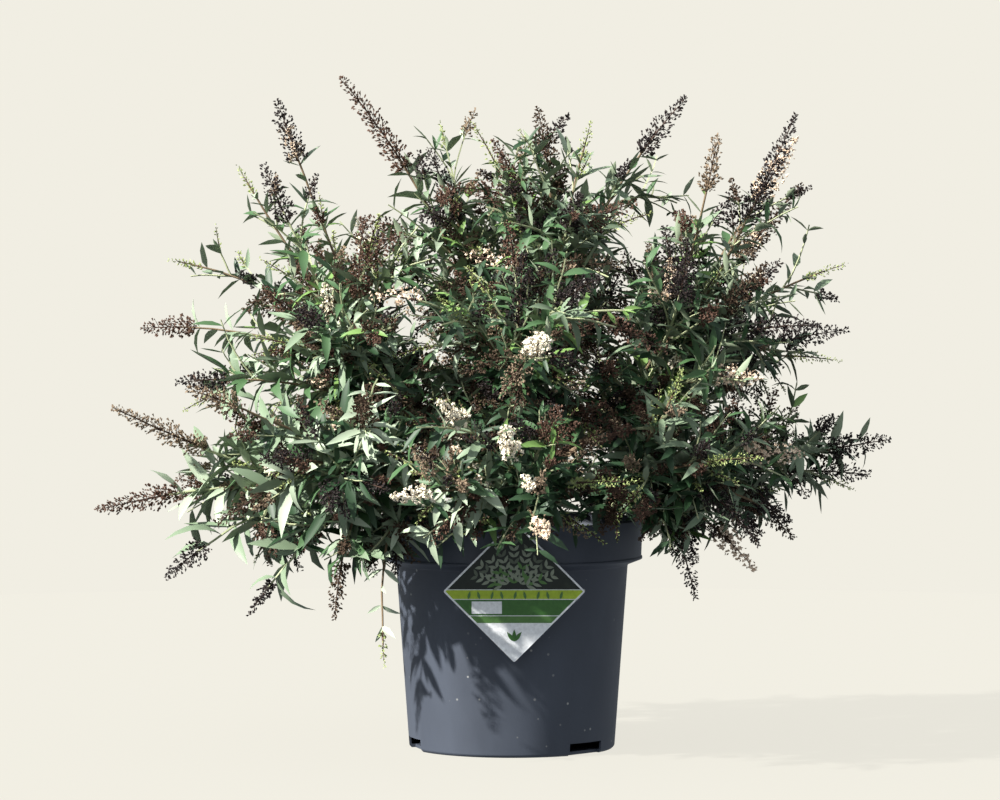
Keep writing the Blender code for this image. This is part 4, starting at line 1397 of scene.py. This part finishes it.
class BUSH_OT_wood(bpy.types.Operator):
    """Makes the woody foot and the boughs, with the relief of their bark"""

    bl_idname = "bush.wood"
    bl_label = "Stem and boughs"

    def execute(self, context):
        settings = context.scene.bush_wood
        bark = bark_material("bark of the stem", settings.bark, settings.furrow, 150.0)
        heights = [STEM_HEIGHT * share for _, share in reversed(STEM_PROFILE)]
        widths = [radius for radius, _ in reversed(STEM_PROFILE)]
        levels = [STEM_HEIGHT * 0.99 * k / (STEM_LEVELS - 1) for k in range(STEM_LEVELS)]

        def stem_radius(share, angle, point):
            height = point.z - STEM_FOOT
            width = float(np.interp(height, heights, widths))
            return width - furrows(angle, height, STEM_RIDGES, settings.relief)

        points = [Vector((0.0, 0.0, STEM_FOOT + level)) for level in levels]
        stem = add_object("woody_foot", ring_mesh("woody_foot", points, stem_radius, STEM_SIDES))
        stem.data.materials.append(bark)
        as_piece(stem, ["stem"])

        shape = bmesh.new()
        for number, mass in enumerate(plan_masses()):
            points = bough_path(mass, BOUGH_LEVELS)

            def bough_radius(share, angle, point):
                width = BOUGH_BASE_RADIUS + (BOUGH_TIP_RADIUS - BOUGH_BASE_RADIUS) * share
                joint = 0.0005 * max(0.0, 1.0 - abs((share * 5.0 + 0.5) % 1.0 - 0.5) * 12.0)
                depth = 0.22 * settings.relief
                return width + joint - furrows(angle + number, share, BOUGH_RIDGES, depth)

            mesh = ring_mesh("bough", points, bough_radius, BOUGH_SIDES)
            shape.from_mesh(mesh)
            bpy.data.meshes.remove(mesh)
        mesh = mesh_of(shape, "woody_boughs")
        mesh.shade_smooth()
        mesh.materials.append(bark_material("bark of the boughs", settings.bark, settings.furrow, 260.0))
        as_piece(add_object("woody_boughs", mesh), BOUGH_NODES)
        return {"FINISHED"}


class BUSH_OT_twigs(bpy.types.Operator):
    """Makes the twigs that fork from the boughs, down to the finest"""

    bl_idname = "bush.twigs"
    bl_label = "Twigs"

    def execute(self, context):
        wood, crown = context.scene.bush_wood, grown_crown(context.scene.bush_foliage.fine_shoots)
        lines = {"old": [], "young": [], "fine": []}
        for twig in crown:
            rng = random.Random(SEED * 11 + twig.number)
            last = min(1.0, spike_base(twig) + 0.04)
            count = len(twig.points)
            points = [at_share(twig.points, last * k / (count - 1))[0] for k in range(count)]
            for k in range(1, count - 1):
                points[k] = points[k] + Vector([rng.uniform(-1.0, 1.0) for _ in range(3)]) * TWIG_WANDER
            radii = [twig.base + (twig.end - twig.base) * last * k / (count - 1) for k in range(count)]
            kind = "fine" if twig.order == 3 else "young"
            if twig.order == 1 and rng.random() < OLD_WOOD_CHANCE:
                kind = "old"
            lines[kind].append((points, radii))
        old = plain_material("last year's twigs", wood.old, 0.75, 0.3)
        young = plain_material("this year's twigs", wood.young, 0.62, 0.35)
        tube_piece("old_twigs", lines["old"], 6, old, CROWN_NODES)
        tube_piece("young_twigs", lines["young"], 4, young, CROWN_NODES)
        tube_piece("finest_twigs", lines["fine"], 3, young, CROWN_NODES)
        return {"FINISHED"}


# Leaves


def leaf_mesh(stations, droop, bend, fold, wave):
    """A pointed leaf one long and one wide, its root at the origin, green side up, drooping and folded."""
    shape = bmesh.new()

    def place(share, side, height):
        along = share - 0.30 * droop * share ** 3
        drop = -droop * share ** 2 + height
        return shape.verts.new((along, side + bend * share ** 2, drop))

    root = place(0.0, 0.0, 0.0)
    tip = place(1.0, 0.0, 0.0)
    rows = []
    for k, (share, width) in enumerate(stations):
        half = 0.5 * width
        curl = wave * (-1) ** k
        rows.append((
            place(share, half, half * fold + curl),
            place(share, 0.0, 0.0),
            place(share, -half, half * fold - curl),
            place(share, 0.0, -0.010),
        ))
    fronts, backs = [], []
    left, rib, right, under = rows[0]
    fronts += [(root, rib, left), (root, right, rib)]
    backs += [(root, left, under), (root, under, right)]
    for (l1, m1, r1, u1), (l2, m2, r2, u2) in zip(rows, rows[1:]):
        fronts += [(l1, m1, m2, l2), (m1, r1, r2, m2)]
        backs += [(l1, l2, u2, u1), (u1, u2, r2, r1)]
    left, rib, right, under = rows[-1]
    fronts += [(tip, left, rib), (tip, rib, right)]
    backs += [(tip, under, left), (tip, right, under)]
    for corners in fronts + backs:
        shape.faces.new(corners)
    mesh = mesh_of(shape, "leaf")
    marked = mesh.attributes.new("back", "BOOLEAN", "FACE")
    marked.data.foreach_set("value", [False] * len(fronts) + [True] * len(backs))
    mesh.shade_smooth()
    mesh.set_sharp_from_angle(angle=math.radians(75.0))
    return mesh


def leaf_patterns(width):
    """Leaves that droop, bend and fold in different ways. Width is a share of the length.

    The first six are long, the next three small, and the last three plain ones for the inside.
    """
    long_leaf = ((0.12, 0.50), (0.34, 0.98), (0.60, 0.90), (0.83, 0.44))
    small_leaf = ((0.18, 0.66), (0.45, 1.0), (0.76, 0.60))
    inner_leaf = ((0.28, 0.94), (0.70, 0.78))
    meshes = []
    for stations, droop, bend, fold, wave in (
        (long_leaf, 0.16, 0.02, 0.34, 0.000),
        (long_leaf, 0.30, -0.05, 0.30, 0.010),
        (long_leaf, 0.44, 0.05, 0.40, 0.000),
        (long_leaf, 0.22, 0.08, 0.22, -0.012),
        (long_leaf, 0.60, -0.03, 0.32, 0.008),
        (long_leaf, -0.08, -0.06, 0.45, 0.000),
        (small_leaf, 0.12, 0.03, 0.35, 0.000),
        (small_leaf, 0.28, -0.05, 0.28, 0.000),
        (small_leaf, -0.06, 0.05, 0.45, 0.000),
        (inner_leaf, 0.14, 0.03, 0.35, 0.000),
        (inner_leaf, 0.34, -0.05, 0.28, 0.000),
        (inner_leaf, 0.02, 0.05, 0.45, 0.000),
    ):
        mesh = leaf_mesh(stations, droop, bend / width, fold * width, wave)
        for corner in mesh.vertices:
            corner.co.y *= width
        meshes.append(mesh)
    return meshes


def leaf_rows(twig, settings):
    """Place, twig's direction, side, upper side, length and pattern of each leaf on a twig."""
    rng = random.Random(SEED * 3 + twig.number)
    points, last = twig.points, spike_base(twig)
    spacing = settings.spacing * LEAF_SPACING[twig.order]
    longest = settings.leaf * LEAF_SIZE[twig.order]
    end = points[-1]
    longest *= 0.80 + 0.16 * outwardness(end) + 0.36 * low_and_left(end)
    if end.z < HANGING_UNDER:
        longest *= HANGING_LEAF
    pairs = max(1, round((last - twig.first_leaf) * path_length(points) / spacing))
    rows = []
    for k in range(pairs):
        share = twig.first_leaf + (last - twig.first_leaf) * (k + 0.7) / pairs
        place, along = at_share(points, share)
        outward = (place - HEART).normalized()
        far = clamped(((place - HEART).length / CROWN_REACH - THIN_FROM) / (THIN_TO - THIN_FROM))
        for way in (-1.0, 1.0):
            if rng.random() < 0.05 + (0.15 if twig.order == 1 else 0.44) * far:
                continue
            roll = math.radians(90.0 * (k % 2) + rng.uniform(-28.0, 28.0))
            side = way * (Matrix.Rotation(roll, 3, along) @ level_side(along))
            tilt = Vector([rng.uniform(-0.7, 0.7) for _ in range(3)])
            upper = UP + 0.9 * outward + tilt
            length = longest * (1.0 - 0.34 * k / pairs) * (1.0 - 0.25 * far) * rng.uniform(0.62, 1.12)
            pattern = rng.randrange(6) if length > SMALL_LEAF else rng.randrange(6, 9)
            rows.append((place, along, side, upper, length, pattern))
            if twig.order < 3 and rng.random() < TUFT_CHANCE:
                small = longest * rng.uniform(*TUFT_SIZE)
                turned_up = (side + 0.9 * along).normalized()
                rows.append((place, along, turned_up, upper + tilt, small, rng.randrange(6, 9)))
    return rows


def leaf_tint(twig):
    """The tint of a spray of leaves, by its place in the crown. Where each tint falls is partly painted light
    and shade: the dark deep green gathers towards the middle of the crown as seen from the front and away
    from the left, as painted shade, and the paler grey and silver gather to the left, the right and the edge,
    as painted light.
    """
    rng = random.Random(SEED * 13 + twig.number)
    place = twig.points[-1]
    outer, low_left = outwardness(place), low_and_left(place)
    left, right = clamped(-place.x / 0.3), clamped(place.x / 0.4)
    weights = {
        "deep": 0.2 + 8.5 * (1.0 - outer) * (1.0 - 0.80 * left) + 0.1 * right,
        "middle": 2.0 - 0.9 * low_left,
        "grey": 0.3 + 2.4 * outer + 1.6 * left + 1.6 * low_left + 0.5 * right,
        "fresh": (0.35 + 0.35 * outer) * (1.0 - low_left),
        "silver": 0.08 + 0.6 * outer + 0.8 * left + 4.0 * low_left,
    }
    return chosen(rng, weights)


class BUSH_OT_leaves(bpy.types.Operator):
    """Makes the leaves, in sprays of five tints"""

    bl_idname = "bush.leaves"
    bl_label = "Leaves"

    def execute(self, context):
        settings = context.scene.bush_foliage
        width = settings.leaf_width / settings.leaf
        sites = {tint: Sites() for tint in LEAF_TINTS}
        for index in range(len(plan_masses())):
            rows, named = [], []
            for twig in grown_crown(settings.fine_shoots):
                if twig.mass == index:
                    found = leaf_rows(twig, settings)
                    rows += found
                    named += [leaf_tint(twig)] * len(found)
            place, along, side, upper = (np.array([tuple(r[c]) for r in rows]) for c in range(4))
            length = np.array([r[4] for r in rows])
            pattern = np.array([r[5] for r in rows])
            named = np.array(named)
            waiting = np.ones(len(rows), bool)
            for lean, size in LEAF_LEAN:
                heading = math.cos(math.radians(lean)) * along + math.sin(math.radians(lean)) * side
                heading /= np.linalg.norm(heading, axis=1)[:, None]
                level = upper - (upper * heading).sum(1)[:, None] * heading
                level /= np.linalg.norm(level, axis=1)[:, None]
                across = np.cross(level, heading)
                reach = (length * size)[:, None]
                half = 0.5 * width * reach
                waist = place + 0.45 * reach * heading
                body = [waist + s * half * across - 0.04 * reach * level for s in (-1.0, 1.0)]
                ends = [place + 0.94 * reach * heading - d * reach * level for d in (-0.04, 0.2, 0.42)]
                fits = waiting & clear_of_all(np.stack(body + ends, 1), index, OVERHANG)
                for tint in LEAF_TINTS:
                    some = fits & (named == tint)
                    if tint == "deep":
                        pattern[some] = 9 + pattern[some] % 3
                    if some.any():
                        scale = np.repeat(reach[some], 3, axis=1)
                        sites[tint].add(place[some], heading[some], level[some], scale, pattern[some])
                waiting &= ~fits
        back = plain_material("leaf underside", settings.underside, 0.78, 0.25)
        patterns = pattern_collection("leaf", leaf_patterns(width))
        for tint in LEAF_TINTS:
            face = plain_material(f"leaf {tint} green", getattr(settings, tint), 0.52, 0.42)
            grow_piece(f"leaves_{tint}", sites[tint], patterns, face, back, CROWN_NODES)
        drop_collection(patterns)
        return {"FINISHED"}


# Seed heads, buds and blossom


def three_round(shape, along, radius):
    """Three corners round the X axis."""
    turns = [k * math.tau / 3.0 for k in range(3)]
    return [shape.verts.new((along, radius * math.cos(turn), radius * math.sin(turn))) for turn in turns]


def spindle(waist, tip):
    """A small closed body one long, with its widest part at waist and three sides."""
    shape = bmesh.new()
    ring = three_round(shape, waist, 1.0)
    root, end = shape.verts.new((0.0, 0.0, 0.0)), shape.verts.new((1.0, tip, 0.0))
    for a, b in zip(ring, ring[1:] + ring[:1]):
        shape.faces.new((root, b, a))
        shape.faces.new((end, a, b))
    return closed_mesh(shape, "spindle")


def open_capsule(flare):
    """A small closed cone one long that opens outwards, with three sides."""
    shape = bmesh.new()
    rim = three_round(shape, 0.9, flare)
    root = shape.verts.new((0.0, 0.0, 0.0))
    shape.faces.new(rim)
    for a, b in zip(rim, rim[1:] + rim[:1]):
        shape.faces.new((root, b, a))
    return closed_mesh(shape, "open_capsule")


def floret(cup, spread):
    """An open flower of four lobes, one across, facing along X."""
    shape = bmesh.new()
    rim = []
    for k in range(8):
        angle = math.pi * k / 4.0
        reach, rise = (0.5, cup) if k % 2 == 0 else (0.24, cup * 0.75)
        place = (rise, reach * spread * math.cos(angle), reach * math.sin(angle))
        rim.append(shape.verts.new(place))
    eye, root = shape.verts.new((0.06, 0.0, 0.0)), shape.verts.new((-0.42, 0.0, 0.0))
    for a, b in zip(rim, rim[1:] + rim[:1]):
        shape.faces.new((eye, a, b))
        shape.faces.new((root, b, a))
    return closed_mesh(shape, "floret")


def spike_rows(twig, spacing, crowd):
    """Place, outward direction, path's direction, size and height of each small body on the spike."""
    rng = np.random.default_rng(SEED * 17 + twig.number)
    base = spike_base(twig)
    length = (1.0 - base) * path_length(twig.points)
    share, most = SPIKE_WIDTH[twig.kind]
    girth = min(share * length, most)
    whorls = max(3, round(length / spacing))
    places, ways, ups, sizes, heights = [], [], [], [], []
    turn = rng.uniform(0.0, math.pi)
    for k in range(whorls):
        height = (k + 0.5) / whorls
        middle, along = at_share(twig.points, base + (1.0 - base) * height)
        width = girth * np.interp(height, *SPIKE_OUTLINE) * rng.uniform(0.78, 1.15)
        level = np.cross(along, (0.31, 0.22, 0.92))
        level /= np.linalg.norm(level)
        other = np.cross(along, level)
        for side in (0.0, math.pi):
            count = max(1, round(crowd * (1.0 - 0.60 * height) * rng.uniform(0.7, 1.25)))
            angle = turn + side + rng.normal(0.0, 0.50, count)
            reach = width * rng.uniform(0.06, 1.0, count) ** 0.72
            rise = spacing * rng.uniform(-0.6, 0.9, count)
            out = np.cos(angle)[:, None] * level + np.sin(angle)[:, None] * other
            places.append(np.array(middle) + reach[:, None] * out + rise[:, None] * np.array(along))
            lean = np.radians(rng.uniform(5.0, 65.0, count))[:, None]
            ways.append(np.cos(lean) * out + np.sin(lean) * np.array(along))
            ups.append(np.tile(np.array(along), (count, 1)) + rng.normal(0.0, 0.4, (count, 3)))
            sizes.append(rng.uniform(0.65, 1.15, count) * (1.0 - 0.25 * height))
            heights.append(np.full(count, height))
        turn += math.pi / 2 + rng.uniform(-0.25, 0.25)
    return [np.concatenate(column) for column in (places, ways, ups, sizes, heights)]


def seed_tint(twig):
    """The tint of a seed head, by its place in the crown: darker umber to the right, away from the key light,
    as painted shade, paler russet and tan to the left, where the key light falls, as painted light, and
    browner within.
    """
    rng = random.Random(SEED * 19 + twig.number)
    left = 0.5 - 0.5 * max(-1.0, min(1.0, twig.points[-1].x / 0.35))
    outer = outwardness(twig.points[-1])
    weights = {
        "umber": 0.5 + 2.6 * (1.0 - left) * (0.4 + 0.6 * outer) + (2.0 if twig.order == 1 else 0.0),
        "chestnut": 0.6 + 1.1 * (1.0 - outer),
        "russet": 0.7 + 0.9 * left,
        "tan": 0.25 + 0.35 * left,
    }
    return chosen(rng, weights)


class BUSH_OT_blossom(bpy.types.Operator):
    """Makes the seed heads, the unopened buds and the last blossom"""

    bl_idname = "bush.blossom"
    bl_label = "Seed heads and blossom"

    def execute(self, context):
        settings = context.scene.bush_blossom
        crown = grown_crown(context.scene.bush_foliage.fine_shoots)
        sites = {name: Sites() for name in (*SEED_TINTS, "bud_green", "cream", "peach")}
        # By kind: spacing of the whorls, bodies in half a whorl, their length, and how squat they are.
        forms = {
            "seed": (0.0040, 15.0, settings.capsule, 0.30),
            "bud": (0.0036, 5.0, settings.bud, 0.26),
            "bloom": (0.0042, 9.0, settings.floret, 1.0),
        }
        stalks = []
        for twig in crown:
            if not twig.spike:
                continue
            rng = np.random.default_rng(SEED * 23 + twig.number)
            spacing, crowd, size, squat = forms[twig.kind]
            place, way, up, grown, height = spike_rows(twig, spacing, crowd * SPIKE_CROWD[twig.order])
            if twig.kind != "bloom":
                place = place - way * (0.4 * size * grown)[:, None]
            fits = clear_of_all((place + way * (size * grown)[:, None])[:, None, :], twig.mass, OVERHANG)
            place, way, up, grown, height = (a[fits] for a in (place, way, up, grown, height))
            if not len(place):
                continue
            if twig.kind == "seed":
                name = seed_tint(twig)
            elif twig.kind == "bud":
                name = "bud_green"
            else:
                faded = twig.number in FADING_BLOSSOM or twig.order > 1 and rng.random() < 0.5
                name = "peach" if faded else "cream"
            length = (size * grown)[:, None]
            scale = np.concatenate([length, squat * length, squat * length], 1)
            pattern = rng.integers(0, 3, len(place))
            if twig.kind == "seed":
                pattern = rng.integers(0 if twig.order == 1 else 3, 5, len(place))
            base = spike_base(twig)
            shares = [k / (STALK_POINTS[twig.order] - 1) for k in range(STALK_POINTS[twig.order])]
            axis = [at_share(twig.points, base + (LEAFY_END - base) * share)[0] for share in shares]
            thick = twig.base + (twig.end - twig.base) * base
            stalks.append((axis, [thick * (1.0 - 0.6 * share) for share in shares]))
            for k in range(0, len(place), STALK_EVERY[twig.order]):
                start, _ = at_share(twig.points, base + (1.0 - base) * max(0.0, float(height[k]) - 0.05))
                stalks.append(([start, Vector(place[k])], STALK_RADII))
            if twig.kind == "bloom":
                spent = rng.random(len(place)) < SPENT_CHANCE
                small = 0.72 * scale * np.array((1.0, 0.24, 0.24))
                sites["tan"].add(place[spent], way[spent], up[spent], small[spent], pattern[spent])
                place, way, up, scale, pattern = (a[~spent] for a in (place, way, up, scale, pattern))
            if twig.number in LATE_BLOSSOM:
                late = (height > 0.05) & (height < 0.55) & (rng.random(len(place)) < LATE_CHANCE)
                wide = settings.floret * np.repeat(grown[late][:, None], 3, axis=1)
                sites["peach"].add(place[late], way[late], up[late], wide, pattern[late] % 3)
            sites[name].add(place, way, up, scale, pattern)
        capsules = [spindle(0.42, 0.0), spindle(0.55, 0.35), spindle(0.35, -0.2)]
        capsules += [open_capsule(1.15), open_capsule(0.9)]
        spindles = pattern_collection("capsule", capsules)
        florets = pattern_collection("floret", [floret(0.10, 1.0), floret(0.22, 0.85), floret(0.02, 1.0)])
        for name in SEED_TINTS:
            finish = plain_material(f"{name} seed capsules", getattr(settings, name), 0.80, 0.25)
            grow_piece(f"seed_heads_{name}", sites[name], spindles, finish, finish, CROWN_NODES)
        finish = plain_material("green flower buds", settings.bud_green, 0.60, 0.35)
        grow_piece("flower_buds", sites["bud_green"], spindles, finish, finish, CROWN_NODES)
        for name in ("cream", "peach"):
            finish = plain_material(f"{name} florets", getattr(settings, name), 0.60, 0.30)
            grow_piece(f"blossom_{name}", sites[name], florets, finish, finish, CROWN_NODES)
        drop_collection(spindles)
        drop_collection(florets)
        stalk = plain_material("spike stalks", 0.6 * Vector(settings.russet), 0.75, 0.3)
        tube_piece("spike_stalks", stalks, 3, stalk, CROWN_NODES)
        return {"FINISHED"}


# Stage


def pale_material(settings):
    """A pale floor that keeps shadows light."""
    material, _, shader = material_to_work("pale floor", 0.05 * Vector(settings.pale), 1.0, 0.0)
    shader.inputs["Emission Color"].default_value = (*settings.pale, 1.0)
    shader.inputs["Emission Strength"].default_value = FLOOR_GLOW
    return material


def pale_world(settings):
    """The same pale colour behind everything, and an even fill light."""
    world = bpy.data.worlds.new("pale studio")
    world.use_nodes = True
    tree = world.node_tree
    tree.nodes.clear()
    cool = {"Color": (0.86, 0.93, 1.0, 1.0), "Strength": settings.fill}
    fill = add_node(tree, "ShaderNodeBackground", cool)
    seen = add_node(tree, "ShaderNodeBackground", {"Color": (*settings.pale, 1.0), "Strength": 1.0})
    path = tree.nodes.new("ShaderNodeLightPath")
    both = {0: path.outputs["Is Camera Ray"], 1: fill.outputs[0], 2: seen.outputs[0]}
    mix = add_node(tree, "ShaderNodeMixShader", both)
    add_node(tree, "ShaderNodeOutputWorld", {"Surface": mix.outputs[0]})
    return world


class BUSH_OT_stage(bpy.types.Operator):
    """Makes the pale floor, the light and the camera"""

    bl_idname = "bush.stage"
    bl_label = "Stage"

    def execute(self, context):
        settings = context.scene.bush_stage
        scene = context.scene
        shape = bmesh.new()
        bmesh.ops.create_circle(shape, cap_ends=True, segments=96, radius=FLOOR_RADIUS)
        floor = add_object("floor", mesh_of(shape, "floor"))
        floor.location.z = -FLOOR_DROP
        floor.data.materials.append(pale_material(settings))
        floor.visible_diffuse = floor.visible_glossy = False
        scene.world = pale_world(settings)
        scene.view_settings.view_transform = "Standard"

        for name, strength, angle, colour, towards in (
            ("key", settings.key, settings.key_softness, (1.0, 0.97, 0.91), (-0.74, -0.36, 0.56)),
            ("sky", settings.sky, SKY_SOFTNESS, (0.90, 0.95, 1.0), (-0.30, -0.38, 0.87)),
        ):
            sun = bpy.data.lights.new(name, "SUN")
            sun.energy, sun.angle, sun.color = strength, angle, colour
            light = add_object(name, sun)
            light.rotation_mode = "QUATERNION"
            light.rotation_quaternion = Vector(towards).to_track_quat("Z", "Y")

        lens = bpy.data.cameras.new("camera")
        lens.lens = settings.lens
        lens.sensor_width = SENSOR_WIDTH
        camera = add_object("camera", lens)
        camera.location = (settings.aim_side, -settings.distance, settings.camera_height)
        aim = Vector((settings.aim_side, 0.0, settings.aim_height))
        camera.rotation_euler = (aim - camera.location).to_track_quat("-Z", "Y").to_euler()
        scene.camera = camera
        return {"FINISHED"}


class BUSH_PT_panel(bpy.types.Panel):
    bl_label = "Butterfly bush"
    bl_idname = "BUSH_PT_panel"
    bl_space_type = "VIEW_3D"
    bl_region_type = "UI"
    bl_category = "Butterfly bush"

    def draw(self, context):
        layout = self.layout
        for operator in OPERATORS:
            layout.operator(operator.bl_idname)
        for name, group in SETTINGS:
            box = layout.box()
            held = getattr(context.scene, name)
            for key in group.__annotations__:
                box.prop(held, key)


SETTINGS = (
    ("bush_pot", PotSettings),
    ("bush_label", LabelSettings),
    ("bush_wood", WoodSettings),
    ("bush_foliage", FoliageSettings),
    ("bush_blossom", BlossomSettings),
    ("bush_stage", StageSettings),
)
OPERATORS = (
    BUSH_OT_stage,
    BUSH_OT_pot,
    BUSH_OT_compost,
    BUSH_OT_label,
    BUSH_OT_wood,
    BUSH_OT_twigs,
    BUSH_OT_leaves,
    BUSH_OT_blossom,
)


def register():
    for name, group in SETTINGS:
        bpy.utils.register_class(group)
        setattr(bpy.types.Scene, name, PointerProperty(type=group))
    for operator in OPERATORS:
        bpy.utils.register_class(operator)
    bpy.utils.register_class(BUSH_PT_panel)


def unregister():
    bpy.utils.unregister_class(BUSH_PT_panel)
    for operator in reversed(OPERATORS):
        bpy.utils.unregister_class(operator)
    for name, group in reversed(SETTINGS):
        delattr(bpy.types.Scene, name)
        bpy.utils.unregister_class(group)


def main():
    register()
    bpy.ops.bush.stage()
    bpy.ops.bush.pot()
    bpy.ops.bush.compost()
    bpy.ops.bush.label()
    bpy.ops.bush.wood()
    bpy.ops.bush.twigs()
    bpy.ops.bush.leaves()
    bpy.ops.bush.blossom()


if __name__ == "__main__":
    main()
